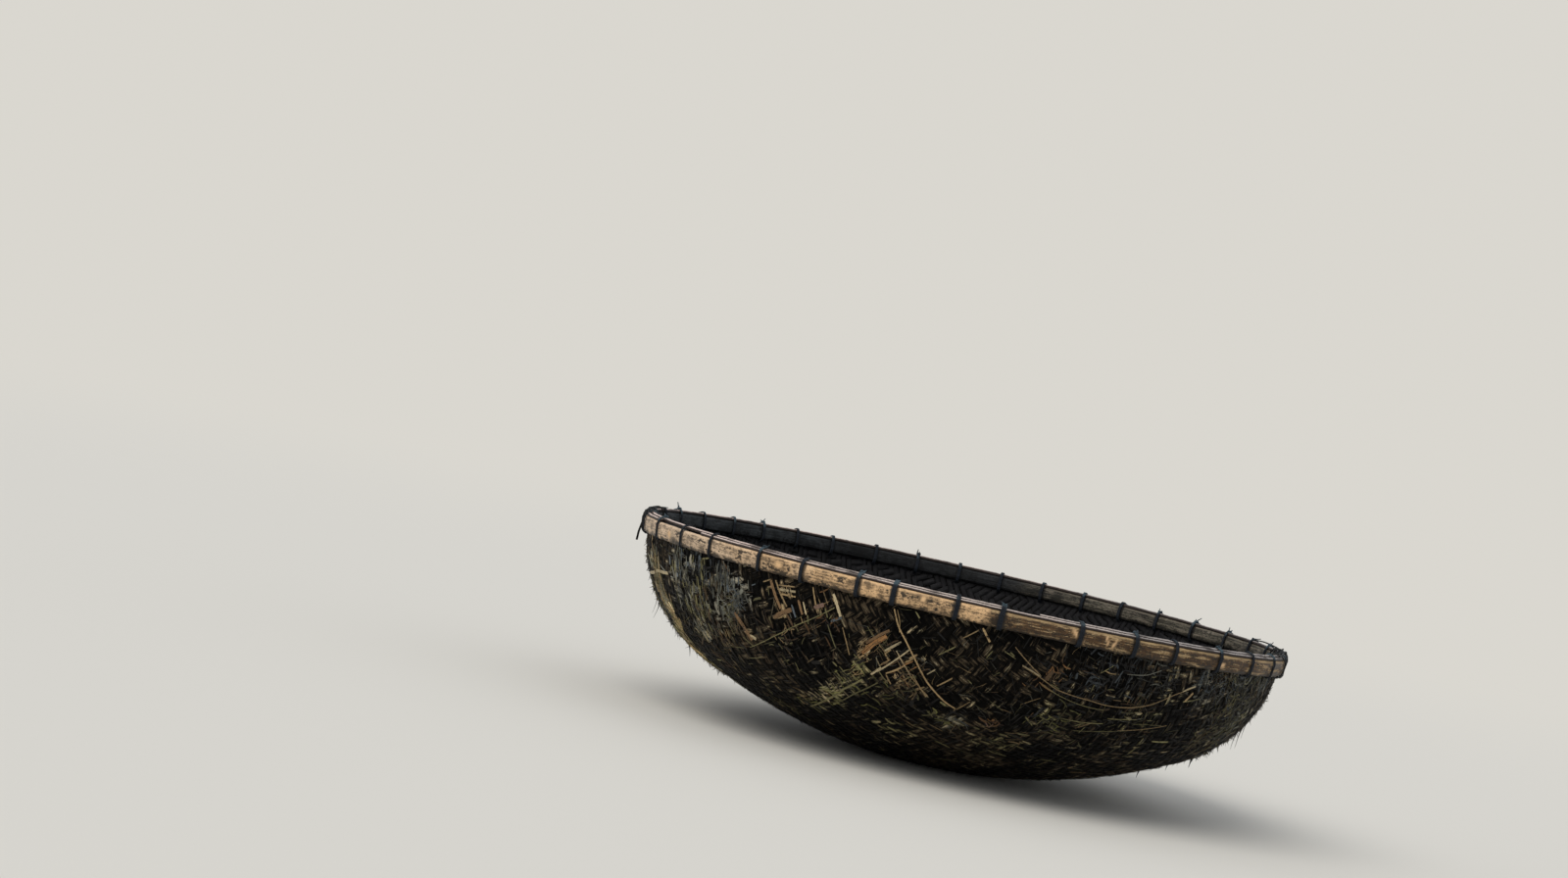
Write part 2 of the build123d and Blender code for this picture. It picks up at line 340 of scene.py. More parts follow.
# %% Gathering long pieces
class Bundle:
    """Gathers long thin pieces and makes one mesh of them."""

    def __init__(self):
        self.points, self.quads, self.ends, self.maps, self.shades = [], [], [], [], []
        self.count = 0

    def add(self, rows, along, across, shade=0.0):
        """rows is length x section x 3, along is one number a row, across one more than the section."""
        n, m = rows.shape[:2]
        i, j = np.meshgrid(np.arange(n - 1), np.arange(m), indexing="ij")
        k = (j + 1) % m
        quads = np.stack([i * m + j, i * m + k, (i + 1) * m + k, (i + 1) * m + j], -1).reshape(-1, 4)
        across = np.asarray(across, float)
        u = np.stack([along[i], along[i], along[i + 1], along[i + 1]], -1).reshape(-1, 4)
        v = np.stack([across[j], across[j + 1], across[j + 1], across[j]], -1).reshape(-1, 4)
        self.points.append(rows.reshape(-1, 3))
        self.quads.append(quads + self.count)
        self.maps.append(np.stack([u, v], -1).reshape(-1, 2))
        for row, order in ((0, -1), (n - 1, 1)):
            cap = self.count + row * m + np.arange(m)[::order]
            cap_map = np.stack([np.full(m, along[row]), across[:m][::order]], -1)
            self.ends.append((cap.tolist(), cap_map))
        self.shades.append(np.broadcast_to(shade, (n, m, 3)).reshape(-1, 3))
        self.count += n * m

    def finish(self, name, material, smooth=True):
        """The mesh object, with every piece closed and facing outwards."""
        mesh = bpy.data.meshes.new(name)
        faces = np.concatenate(self.quads).tolist() + [cap for cap, _ in self.ends]
        mesh.from_pydata(np.concatenate(self.points).tolist(), [], faces)
        maps = np.concatenate(self.maps + [cap_map for _, cap_map in self.ends])
        layer = mesh.uv_layers.new(name="along")
        layer.uv.foreach_set("vector", maps.ravel())
        shades = np.concatenate(self.shades)
        opaque = np.concatenate([shades, np.ones((len(shades), 1))], 1)
        colour = mesh.color_attributes.new("shade", "FLOAT_COLOR", "POINT")
        colour.data.foreach_set("color", opaque.ravel())
        return dress(mesh, name, material, smooth)


def dress(mesh, name, material, smooth):
    """Object for a mesh made in numbers: normals outwards, smooth or flat, with its material."""
    work = bmesh.new()
    work.from_mesh(mesh)
    bmesh.ops.recalc_face_normals(work, faces=work.faces)
    work.to_mesh(mesh)
    work.free()
    if smooth:
        mesh.shade_smooth()
    piece = bpy.data.objects.new(name, mesh)
    bpy.context.scene.collection.objects.link(piece)
    mesh.materials.append(material)
    print(name, sum(len(p.vertices) - 2 for p in mesh.polygons), "triangles")
    return piece


print("long pieces can be gathered")

# %% Lines and tubes
def tube(points, radius, side, sides=8):
    """Rows of points round a line. side is a direction that the line never takes."""
    points = np.asarray(points, float)
    ahead = np.gradient(points, axis=0)
    ahead /= np.linalg.norm(ahead, axis=1, keepdims=True)
    out = np.cross(ahead, side)
    out /= np.linalg.norm(out, axis=1, keepdims=True)
    up = np.cross(ahead, out)
    turn = np.linspace(0, 2 * pi, sides, endpoint=False)
    radius = np.broadcast_to(radius, len(points))[:, None, None]
    ring = np.cos(turn)[None, :, None] * out[:, None] + np.sin(turn)[None, :, None] * up[:, None]
    return points[:, None] + radius * ring


def lengths(points):
    """Distance along a line of points, at each point."""
    return np.concatenate([[0], np.cumsum(np.linalg.norm(np.diff(points, axis=0), axis=1))])


straight = tube([(0, 0, 0), (0.1, 0, 0)], 0.01, (0, 0, 1))
print("a tube through 2 points has", straight.shape, "rows, points and numbers")

# %% [markdown]
# Wear follows the photograph. Each worn place is a pixel of the picture, a radius on the hull and three
# amounts: how bare the bamboo is, how much it has turned olive and how grey it is. The grey is weathered
# wood and also a painted sheen of the wet surface. The side that the picture hides gets places of the same
# kind. The amounts are kept as a colour attribute on the strips, and the finish reads it.

# %% Worn places
worn_places = (   # pixel x, y, radius in metres, bare, olive, grey
    (790, 606, 0.040, 0.75, 0.0, 0.2),
    (804, 603, 0.030, 0.65, 0.0, 0.0),
    (800, 626, 0.035, 0.75, 0.0, 0.2),
    (819, 620, 0.025, 0.80, 0.0, 0.0),
    (837, 619, 0.025, 0.60, 0.0, 0.3),
    (855, 616, 0.025, 0.65, 0.1, 0.0),
    (760, 640, 0.040, 0.55, 0.3, 0.3),
    (755, 612, 0.060, 0.10, 0.0, 0.9),
    (745, 596, 0.050, 0.00, 0.0, 0.7),
    (893, 655, 0.035, 0.90, 0.0, 0.0),
    (882, 663, 0.030, 0.70, 0.1, 0.0),
    (915, 688, 0.040, 0.60, 0.4, 0.0),
    (882, 682, 0.035, 0.15, 1.0, 0.0),
    (866, 696, 0.040, 0.20, 1.0, 0.0),
    (848, 708, 0.040, 0.15, 1.0, 0.2),
    (826, 717, 0.040, 0.10, 1.0, 0.2),
    (804, 722, 0.040, 0.10, 0.8, 0.1),
    (782, 724, 0.040, 0.10, 0.6, 0.1),
    (700, 590, 0.110, 0.00, 0.3, 0.75),
    (672, 580, 0.070, 0.30, 0.4, 0.4),
    (668, 610, 0.090, 0.25, 0.8, 0.2),
    (685, 640, 0.100, 0.25, 0.8, 0.1),
    (705, 665, 0.100, 0.20, 0.9, 0.0),
    (735, 688, 0.090, 0.10, 0.7, 0.0),
    (730, 625, 0.090, 0.05, 0.3, 0.55),
    (672, 585, 0.030, 0.70, 0.0, 0.2),
    (968, 738, 0.035, 0.20, 0.7, 0.7),
    (1070, 690, 0.040, 0.45, 0.0, 0.0),
    (1010, 738, 0.035, 0.35, 0.1, 0.0),
    (1078, 730, 0.050, 0.10, 0.7, 0.0),
    (1015, 757, 0.080, 0.05, 0.5, 0.0),
    (920, 745, 0.080, 0.05, 0.5, 0.0),
    (1160, 745, 0.100, 0.05, 0.4, 0.1),
    (1240, 690, 0.110, 0.00, 0.2, 0.6),
    (1285, 700, 0.100, 0.05, 0.2, 0.6),
    (1255, 740, 0.110, 0.05, 0.5, 0.3),
    (1195, 705, 0.070, 0.20, 0.3, 0.2),
)
print(len(worn_places), "worn places in the picture")

# %% Wear over the mat
random = np.random.default_rng(7)
hidden_side = (8, 172)               # azimuths in degrees that the picture doesn't show
hidden_places = 44
rareness, most = (2.4, 1.2, 1.6), (0.75, 0.8, 0.7)   # of bare, olive and grey on the hidden side


def mat_place(azimuth, share):
    """A place on the mat from its azimuth in degrees and its share of the mat's radius."""
    turn = radians(azimuth) - mat_turn
    return share * mat_radius * np.array((cos(turn), sin(turn)))


worn_spots = [(seen(x, y), radius, np.array(amounts)) for x, y, radius, *amounts in worn_places]
for azimuth in random.uniform(*hidden_side, hidden_places):
    place = mat_place(azimuth, random.uniform(0.42, 0.98))
    amounts = random.uniform(0, 1, 3) ** rareness * most
    worn_spots.append((place, random.uniform(0.03, 0.11), amounts))


def wear_at(u, v):
    """Bare, olive and grey at places on the mat."""
    wear = np.zeros((*u.shape, 3))
    for spot, radius, amounts in worn_spots:
        near = np.exp(-((u - spot[0]) ** 2 + (v - spot[1]) ** 2) / radius**2)
        wear = np.maximum(wear, near[..., None] * amounts)
    return wear


print(len(worn_spots), "worn places all round")

# %% Light and dark clouds over the mat
cloud_waves, cloud_contrast = 48, 2.4
cloud_random = np.random.default_rng(21)
cloud_turns = cloud_random.uniform(0, 2 * pi, cloud_waves)
cloud_sizes = cloud_random.uniform(0.07, 0.26, cloud_waves)
cloud_starts = cloud_random.uniform(0, 2 * pi, cloud_waves)


def cloud(u, v):
    """Light and dark places on the mat, from 0 to 1: many waves in all directions, added up."""
    across = np.asarray(u)[..., None] * np.cos(cloud_turns) + np.asarray(v)[..., None] * np.sin(cloud_turns)
    total = np.sin(across * 2 * pi / cloud_sizes + cloud_starts).sum(-1) / sqrt(cloud_waves / 2)
    return 1 / (1 + np.exp(-cloud_contrast * total))


print("cloud in the mat's middle:", round(float(cloud(0, 0)), 2))

# %% [markdown]
# Tar is black and a little lumpy. Where it has worn off, the strip below shows as ragged streaks along its
# fibres. Each streak is a threshold on noise that is stretched along the strip: the wear at that place lifts
# the noise over the threshold. The strip's edges, and the places where it dives under the next one, hold it
# down and are darkened more: that is painted shade in the creases of the weave.

# %% Colours of tar and of old strips
black_tar, dull_tar, tar_and_crease_shade = (0.0012, 0.0010, 0.0008), (0.006, 0.0050, 0.0038), (0.0016, 0.0014, 0.0012)
dry_brown = (0.075, 0.056, 0.035)
olive, weathered, slate = (0.34, 0.31, 0.15), (0.34, 0.32, 0.25), (0.15, 0.17, 0.17)
red_bamboo, pale_bamboo = (0.20, 0.085, 0.028), (0.62, 0.46, 0.25)
inside_dark, inside_sheen = (0.006, 0.006, 0.0065), (0.040, 0.039, 0.041)
pitch = 0.022                        # metres from one strip to the next
float_length = 4 * pitch             # a strip is on top for two crossings of every four
print(f"the twill repeats every {1000 * float_length:.0f} mm")


# %% What shows where tar has worn off
def worn_strip(tar, colour, patch, grit, lump):
    """Lays fibres, moss, weathered wood with a painted wet sheen and bare bamboo over the tar, and paints
    shade into the creases of the weave. Gives the colour and the streaks.
    """
    along = tar.along()
    bare, moss, grey = tar.parts(tar.attribute("shade"))
    run, across, _ = tar.parts(along)
    coarse = tar.noise(tar.scaled(along, (30, 2.4, 1)), 1.0, 4, 0.6)
    fibre = tar.noise(tar.scaled(along, (9, 8, 1)), 1.0, 5, 0.65)
    hair = tar.noise(tar.scaled(along, (24, 30, 1)), 1.0, 3, 0.6)
    streak = coarse * 0.45 + fibre * 0.3 + hair * 0.25
    # every stretch of a strip that lies on top has its own luck
    number = tar.apply("FLOOR", across)
    stretch = tar.apply("FLOOR", run / float_length + 0.125)
    own = tar.chance(tar.node("ShaderNodeCombineXYZ", {}, {0: number, 1: stretch}))
    # a strip's edges and where it dives under the next one wear less and are darker: painted shade in the
    # weave's creases
    edge = tar.apply("ABSOLUTE", across - number - 0.5)
    dive = 1 - tar.between(tar.apply("SINE", run * (2 * pi / float_length) + pi / 4), 0.0, 0.6)
    ragged = streak * 1.3 + grit * 0.15 + own * 0.5 - (edge * 0.25 + dive * 0.16)
    inner = 1 - tar.between(grey, -0.4, -0.1)
    brown = tar.between(ragged + patch * 0.5, 1.22, 1.46) * (1 - inner)
    colour = tar.mix(brown, colour, dry_brown)
    colour = tar.mix(tar.between(ragged + moss * 0.6, 1.26, 1.42), colour, olive)
    # grey where the strip has weathered, which is also a painted sheen of the wet surface
    grey_wood_and_sheen = tar.mix(tar.between(lump + own * 0.5, 0.5, 0.9), slate, weathered)
    colour = tar.mix(tar.between(ragged + grey * 0.6, 1.26, 1.46), colour, grey_wood_and_sheen)
    wood = tar.mix(tar.between(hair * 0.6 + own * 0.4, 0.25, 0.75), red_bamboo, pale_bamboo)
    colour = tar.mix(tar.between(ragged + bare * 0.6, 1.34, 1.48), colour, wood)
    split = 1 - tar.between(fibre * 0.6 + coarse * 0.4, 0.32, 0.44)
    colour = tar.mix(split * 0.9, colour, tar_and_crease_shade)
    # painted shade along each strip's edges, in the creases between the strips
    colour = tar.mix(tar.between(edge, 0.38, 0.5) * 0.8, colour, tar_and_crease_shade)
    # inside the bowl the strips get dark tar with a painted bluish sheen along their streaks
    colour = tar.mix(inner * 0.9, colour, tar.mix(streak, inside_dark, inside_sheen))
    return colour, streak


print("worn strips can be coloured")


# %% Finish of the tar
def tar_finish(name, strips):
    """Old tar, alone or over strips of bamboo that show where it has worn off."""
    tar = Finish(name, specular_ior_level=0.05)
    place = tar.place()
    patch = tar.noise(place, 5.0, 4)
    grit = tar.noise(place, 170.0, 5, 0.7)
    lump = tar.noise(place, 36.0, 4, 0.6)
    colour = tar.mix(tar.between(patch + lump * 0.4, 0.5, 1.0), black_tar, dull_tar)
    height = grit * 0.25 + lump * 0.5
    if strips:
        colour, streak = worn_strip(tar, colour, patch, grit, lump)
        height = height + streak * 0.6
    tar.surface(
        base_color=colour,
        roughness=tar.between(patch * 0.5 + grit * 0.5, 0.2, 0.8) * 0.3 + 0.42,
        normal=tar.bump(height, 0.003),
    )
    return tar.material


tarred_strips = tar_finish("tarred_strips", True)
tar_skin = tar_finish("tar_skin", False)
print(len(tarred_strips.node_tree.nodes), "nodes in the finish of the strips")

# %% [markdown]
# The basket is a twill: each strip goes over two strips and under two, and every row is one step further.
# Two sets of strips cross at right angles on the flat mat. They are made in numbers, because ten thousand
# crossings are too many to model by hand. Each strip is a closed ribbon with a crown, sampled once at every
# crossing, and its height there is up or down. In one place the strips are broken and sunk: there they are
# pushed in behind the skin of tar that lies between the two layers, which leaves a dark hollow.

# %% Woven strips
strip_width = 0.0195
over = 0.0017                        # metres that a strip rises or dives at a crossing
thick_middle, thick_edge = 0.0008, 0.0004   # half thicknesses, in metres
lift_scatter, row_wander, place_wander = 0.00018, 0.0006, 0.0004   # metres
row_width_scatter, place_width_scatter = 0.04, 0.03   # shares of the width
least_wear, cloud_wear = 0.55, 0.75
inside_mark = -0.5                   # wear below zero tells the finish that a face is inside the bowl
ribbon_across = np.array((-0.5, 0.0, 0.5, 0.5, 0.0, -0.5))
ribbon_map = np.array((0.02, 0.5, 0.98, 0.98, 0.5, 0.02, 0.02))
ribbon_depth = np.array((-thick_edge, -thick_middle, -thick_edge, thick_edge, thick_middle, thick_edge))
middle_depth = wall_thickness / 2
half_count = int(mat_radius / pitch)
pushed_in = 0.0042                   # metres that broken strips are pushed in, past the tar skin
broken = (   # pixel x, y where strips are broken, and the radius in metres
    (905, 675, 0.050), (925, 680, 0.055), (945, 690, 0.045), (925, 665, 0.040), (893, 672, 0.035),
)
broken_spots = [(seen(x, y), radius) for x, y, radius in broken]


def weave(name, set_number):
    """One set of strips: number 0 runs along the mat's u, number 1 along its v."""
    bundle = Bundle()
    for row in range(-half_count, half_count + 1):
        offset = row * pitch
        half_length = sqrt(max(mat_radius**2 - (abs(offset) + strip_width / 2) ** 2, 0))
        cells = int(half_length / pitch)
        if cells < 1:
            continue
        crossing = np.arange(-cells - 1, cells + 2)
        places = np.clip(crossing * pitch, -half_length, half_length)
        count = len(places)
        on_top = (crossing - row) % 4 < 2 if set_number == 0 else (row - crossing) % 4 >= 2
        lift = np.where(on_top, over, -over) + random.normal(0, lift_scatter, count)
        wider = random.normal(0, row_width_scatter) + random.normal(0, place_width_scatter, count)
        wander = random.normal(0, row_wander) + random.normal(0, place_wander, count)
        side = offset + wander[:, None] + ribbon_across * (strip_width * (1 + wider))[:, None]
        run = np.broadcast_to(places[:, None], side.shape)
        u, v = (run, side) if set_number == 0 else (side, run)
        near = [np.hypot(u.mean(1) - spot[0], v.mean(1) - spot[1]) < radius for spot, radius in broken_spots]
        lift = lift - pushed_in * np.any(near, axis=0)
        rows = on_hull(u, v, middle_depth - lift[:, None] + ribbon_depth)
        worn = wear_at(u, v) * (least_wear + cloud_wear * cloud(u, v))[..., None]
        worn = np.where(ribbon_depth[:, None] < 0, worn, inside_mark)
        phase = places - (row + set_number) * pitch
        bundle.add(rows, phase, ribbon_map + row + half_count, worn)
    return bundle.finish(name, tarred_strips)


strips_one_way = weave("strips_one_way", 0)
strips_other_way = weave("strips_other_way", 1)

# %% [markdown]
# Tar closes the basket, so no light comes through between the strips. That skin is modelled as by hand: half
# of the hull's section is drawn as a line of points, spun all the way round the boat's axis and closed in
# the middle. Solidify gives it a wall, and Displace with a cloud texture makes it lumpy.

# %% Line of the tar skin
profile_steps, around_steps = 84, 240
centre_hole, edge_inset = 0.004, 0.001   # metres
skin_runs = np.linspace(centre_hole, mat_radius - edge_inset, profile_steps)
skin_radius, skin_height, skin_slope = hull_line(skin_runs)
skin_line = [
    (r - middle_depth * sin(a), 0, h + middle_depth * cos(a))
    for r, h, a in zip(skin_radius, skin_height, skin_slope)
]
skin_mesh = bpy.data.meshes.new("tar_skin")
skin_mesh.from_pydata(skin_line, [(n, n + 1) for n in range(profile_steps - 1)], [])
skin = bpy.data.objects.new("tar_skin", skin_mesh)
bpy.context.scene.collection.objects.link(skin)
print("line of", len(skin_mesh.vertices), "points")

# %% Tar skin between the layers
bpy.ops.object.select_all(action="DESELECT")
bpy.context.view_layer.objects.active = skin
skin.select_set(True)
bpy.ops.object.mode_set(mode="EDIT")
bpy.ops.mesh.select_all(action="SELECT")
bpy.ops.mesh.spin(steps=around_steps, angle=2 * pi, center=(0, 0, 0), axis=(0, 0, 1))
bpy.ops.mesh.select_all(action="SELECT")
bpy.ops.mesh.remove_doubles(threshold=0.0004)
bpy.ops.mesh.select_all(action="DESELECT")
bpy.ops.object.mode_set(mode="OBJECT")
at_centre = [hypot(*vertex.co.xy) < centre_hole * 1.5 for vertex in skin.data.vertices]
for edge in skin.data.edges:
    edge.select = all(at_centre[number] for number in edge.vertices)
bpy.ops.object.mode_set(mode="EDIT")
bpy.ops.mesh.edge_face_add()
bpy.ops.mesh.select_all(action="SELECT")
bpy.ops.mesh.normals_make_consistent(inside=False)
bpy.ops.object.mode_set(mode="OBJECT")
wall = skin.modifiers.new("wall", "SOLIDIFY")
wall.thickness = 0.0014
wall.offset = 0
lumps = bpy.data.textures.new("tar_lumps", "CLOUDS")
lumps.noise_scale = 0.03
lumps.noise_depth = 2
swell = skin.modifiers.new("swell", "DISPLACE")
swell.texture = lumps
swell.strength = 0.0036
swell.mid_level = 0.62
for modifier in ("wall", "swell"):
    bpy.ops.object.modifier_apply(modifier=modifier)
bpy.ops.object.shade_smooth()
skin.data.materials.append(tar_skin)
print("tar_skin", sum(len(p.vertices) - 2 for p in skin.data.polygons), "triangles")

# %% The three layers replace the solid bowl
for piece in (strips_one_way, strips_other_way, skin):
    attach(piece, "root")
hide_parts("basket_shell")
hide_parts("basket_shell")
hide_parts("basket_shell")
print("the basket is woven")

# %% [markdown]
# An old basket is hairy. Splints break out of the strips, and some long ones spring off and lie across the
# hull. Hair particles could strew them, but they would not follow the weave. So a splint is a ribbon along a
# path on the mat. The ones that the picture shows are listed by their pixels, and some thousands of small
# ones are strewn over the hull by chance, all round.

# %% Finish of the splints
stained_splint = (0.008, 0.0065, 0.005)


def splint_finish(name):
    """Raw split bamboo. Each splint has its own colour in the shade attribute."""
    splint = Finish(name, specular_ior_level=0.25)
    along, place = splint.along(), splint.place()
    fibre = splint.noise(splint.scaled(along, (14, 5, 1)), 1.0, 5, 0.7)
    grit = splint.noise(place, 220.0, 4, 0.7)
    own = splint.attribute("shade")
    stain = splint.between(fibre * 0.6 + grit * 0.4, 0.26, 0.48)
    colour = splint.mix(1 - stain, own, stained_splint)
    splint.surface(base_color=colour, roughness=0.6, normal=splint.bump(fibre + grit * 0.3, 0.0006))
    return splint.material


raw_splint = splint_finish("raw_splint")
print(len(raw_splint.node_tree.nodes), "nodes in the finish of the splints")

# %% Colours of the splints
# blue is a painted sheen of the sky on wet wood, and grey is weathered wood with some painted sheen
shades = {
    "pale": (0.64, 0.52, 0.31), "tan": (0.42, 0.29, 0.14), "orange": (0.33, 0.165, 0.060),
    "olive": (0.25, 0.225, 0.10), "pink": (0.36, 0.22, 0.16), "blue": (0.15, 0.18, 0.20),
    "grey": (0.27, 0.27, 0.22), "brown": (0.12, 0.070, 0.032), "dark": (0.010, 0.0085, 0.0065),
    "moss": (0.28, 0.27, 0.085), "bark": (0.25, 0.145, 0.066),
}
print(len(shades), "colours of splints")

# %% Laying a splint on the hull
path_step = 0.006                    # metres between the points of a splint
splint_foot = 0.0006                 # metres that its underside is sunk into the hull's outer face


def smooth_path(points, rounds=6):
    """A path through a few places on the mat, with its corners rounded."""
    points = np.asarray(points, float)
    run = lengths(points)
    even = np.linspace(0, run[-1], max(5, int(run[-1] / path_step)))
    path = np.stack([np.interp(even, run, points[:, k]) for k in (0, 1)], -1)
    for _ in range(rounds):
        path[1:-1] = (path[:-2] + 2 * path[1:-1] + path[2:]) / 4
    return path


def lay_splint(bundle, path, width, shade, lift=0.0, sprung=0.0, ends=(0.7, 0.9)):
    """A ribbon on the hull's outside. lift is how far all of it stands off, and sprung how far its end
    does, in metres. ends are the shares of the width that are left at its two torn ends."""
    ahead = np.gradient(path, axis=0)
    ahead /= np.linalg.norm(ahead, axis=1, keepdims=True)
    side = np.stack([-ahead[:, 1], ahead[:, 0]], -1)
    share = np.linspace(0, 1, len(path))
    taper = np.interp(share, (0, 0.16, 0.78, 1), (ends[0], 1, 1, ends[1]))
    half = width / 2 * taper * (1 + random.normal(0, 0.08, len(path)))
    low = splint_foot - lift - sprung * share**3
    thick = 0.0005 + 0.04 * width
    corners = []
    for way, depth in ((-1, low), (-0.85, low - thick), (0.85, low - thick), (1, low)):
        place = path + way * half[:, None] * side
        corners.append(on_hull(place[:, 0], place[:, 1], depth))
    along = share * len(path) * path_step + random.uniform(0, 9)
    bundle.add(np.stack(corners, 1), along, (0, 0.15, 0.85, 1, 0), np.array(shade)[None, None])


print(len(smooth_path([(0, 0), (0.1, 0)])), "points on a splint of 100 mm")

# %% Splints that the picture shows
shown_splints = (   # shade, width in millimetres, lift in millimetres, then pixels x, y
    ("bark", 12, 1, (787, 592), (791, 606), (797, 621)),
    ("tan", 7, 1, (792, 592), (797, 606), (803, 619)),
    ("pale", 8, 0, (794, 601), (812, 604)),
    ("tan", 7, 0, (797, 606), (812, 609)),
    ("tan", 5, 0, (795, 597), (811, 599)),
    ("bark", 18, 1, (790, 630), (799, 625), (808, 622)),
    ("bark", 10, 1, (815, 612), (819, 627)),
    ("pale", 6, 1, (820, 614), (823, 627)),
    ("tan", 6, 1, (830, 599), (833, 618)),
    ("pink", 16, 1, (831, 620), (841, 617)),
    ("pale", 12, 2, (851, 606), (855, 618), (858, 629)),
    ("blue", 10, 0, (848, 634), (859, 630)),
    ("blue", 9, 0, (808, 617), (812, 630)),
    ("bark", 16, 1, (750, 625), (760, 640), (768, 653)),
    ("pale", 12, 1, (766, 648), (772, 652)),
    ("olive", 3.5, 2, (766, 660), (790, 649), (812, 638), (852, 620)),
    ("tan", 5, 1, (860, 640), (864, 655), (867, 668)),
    ("olive", 5, 1, (845, 637), (849, 650), (853, 661)),
    ("tan", 6, 4, (913, 621), (917, 639), (924, 652), (930, 664), (936, 676), (946, 695), (957, 708),
     (964, 715), (975, 722)),
    ("tan", 3, 3, (916, 622), (919, 634), (918, 645)),
    ("tan", 3, 4, (917, 666), (923, 677), (928, 687), (936, 697), (947, 709)),
    ("pale", 6, 2, (895, 685), (911, 675), (928, 663)),
    ("pale", 8, 1, (903, 664), (912, 659), (920, 655)),
    ("orange", 19, 1, (880, 666), (892, 656), (905, 649)),
    ("bark", 12, 2, (884, 656), (897, 648), (908, 643)),
    ("pale", 5, 1, (915, 664), (921, 675), (928, 687)),
    ("tan", 5, 0, (903, 667), (907, 674)),
    ("tan", 5, 0, (903, 667), (909, 663)),
    ("pale", 5, 0, (894, 671), (899, 682)),
    ("pale", 8, 0, (889, 688), (899, 681)),
    ("tan", 7, 0, (904, 687), (914, 684), (923, 679)),
    ("tan", 5, 0, (904, 688), (909, 698)),
    ("tan", 8, 0, (928, 672), (936, 668)),
    ("tan", 6, 0, (924, 676), (932, 672)),
    ("tan", 5, 0, (931, 688), (938, 700), (945, 711)),
    ("brown", 5, 0, (915, 695), (922, 700), (930, 697)),
    ("pale", 5, 0, (946, 688), (955, 683)),
    ("tan", 6, 0, (956, 700), (972, 692)),
    ("olive", 8, 1, (828, 720), (862, 702), (880, 693)),
    ("olive", 5, 2, (855, 716), (872, 707), (896, 696)),
    ("pale", 12, 0, (664, 584), (672, 582), (682, 585)),
    ("tan", 4, 4, (1043, 679), (1053, 685), (1062, 691), (1078, 703), (1094, 709), (1112, 714), (1128, 719),
     (1143, 721), (1158, 721), (1171, 719), (1185, 714), (1198, 708), (1219, 700)),
    ("pale", 7, 4, (1206, 705), (1212, 702), (1219, 700)),
    ("pale", 4, 4, (1043, 678), (1053, 684), (1062, 690)),
    ("tan", 3, 3, (1036, 660), (1044, 670), (1054, 681), (1062, 689)),
    ("olive", 3, 3, (1062, 697), (1080, 709), (1095, 716), (1110, 721), (1126, 724)),
    ("olive", 3, 1, (1095, 745), (1120, 746), (1150, 745)),
    ("tan", 2.5, 1, (1140, 745), (1165, 744), (1190, 740)),
    ("olive", 3, 1, (1085, 733), (1105, 737), (1125, 738)),
    ("olive", 3, 1, (1130, 733), (1160, 734)),
    ("grey", 3, 1, (1150, 688), (1170, 689), (1185, 684)),
    ("tan", 8, 1, (1003, 641), (1010, 655)),
    ("tan", 9, 1, (1208, 716), (1217, 707)),
    ("brown", 14, 1, (1066, 694), (1075, 684)),
    ("tan", 5, 0, (983, 651), (999, 643)),
    ("olive", 5, 0, (958, 668), (975, 660)),
    ("tan", 5, 0, (973, 725), (990, 716)),
)
shown_lift = 0.0012                  # metres that they stand off, besides their own lift
blur = 0.0004                        # metres that they look wider in the picture than they are
bundle = Bundle()
for shade, width, lift, *pixels in shown_splints:
    path = smooth_path([seen(x, y) for x, y in pixels])
    shade = np.array(shades[shade]) * random.uniform(0.5, 1.0)
    width = width / 1000 * random.uniform(0.75, 0.95) - blur
    lay_splint(bundle, path, width, shade, lift / 1000 + shown_lift)
long_splints = bundle.finish("long_splints", raw_splint, smooth=False)

# %% Splints strewn over the hull
strewn_count = 3000
common = ("dark", "dark", "dark", "dark", "brown", "olive")


def strewn_splint(bundle, place, heading, long, width, shade, lift, sprung, bend=0.07, light=(0.12, 1.0)):
    """One short splint, bent a little, if it stays on the hull's side. Where the cloud is dark, so is it:
    light is the least light and what the cloud adds."""
    share, bend = np.linspace(-0.5, 0.5, 5), random.normal(0, bend)
    u = place[0] + long * (share * cos(heading) - bend * share**2 * sin(heading))
    v = place[1] + long * (share * sin(heading) + bend * share**2 * cos(heading))
    far = np.hypot(u, v)
    own_light = random.uniform(0.3, 1.15) * (light[0] + light[1] * float(cloud(*place)))
    if far.max() < mat_radius and far.min() > foot_radius * 1.1:
        ends = random.uniform(0.1, 1.0, 2)
        shade = np.array(shades[shade]) * own_light
        lay_splint(bundle, np.stack([u, v], -1), width, shade, lift, sprung, ends)


bundle = Bundle()
for _ in range(strewn_count):
    run = mat_radius * sqrt(random.uniform(0.07, 0.985))
    turn = random.uniform(0, 2 * pi)
    place = np.array((run * cos(turn), run * sin(turn)))
    bare, moss, grey = wear_at(*place)
    choices = common + ("tan", "pale", "orange", "tan") * round(4 * bare) + ("olive",) * round(9 * moss)
    # grey and blue splints go where the strips are grey, and like them they are partly painted sheen
    choices += ("grey", "grey", "blue") * round(4 * grey) + ("tan",) * int(random.uniform() < 0.2)
    strewn_splint(
        bundle,
        place,
        heading=random.choice((0, pi / 2)) + random.normal(0, 0.06) + 0.7 * int(random.uniform() < 0.12),
        long=random.uniform(0.012, 0.050) * (1 + random.exponential(0.25)),
        width=random.uniform(0.0010, 0.0022) + random.exponential(0.0012),
        shade=choices[random.integers(len(choices))],
        lift=random.uniform(-0.0006, 0.001),
        sprung=random.uniform(0, 0.0035),
    )
small_splints = bundle.finish("small_splints", raw_splint, smooth=False)

# %% [markdown]
# In some places the strips have frayed into tufts of splints. On the left they hang straight down the hull,
# and elsewhere they lie along the weave or, with a large bend, in all directions. Each place is a middle, a
# spread and a number of splints, so one loop makes them all.

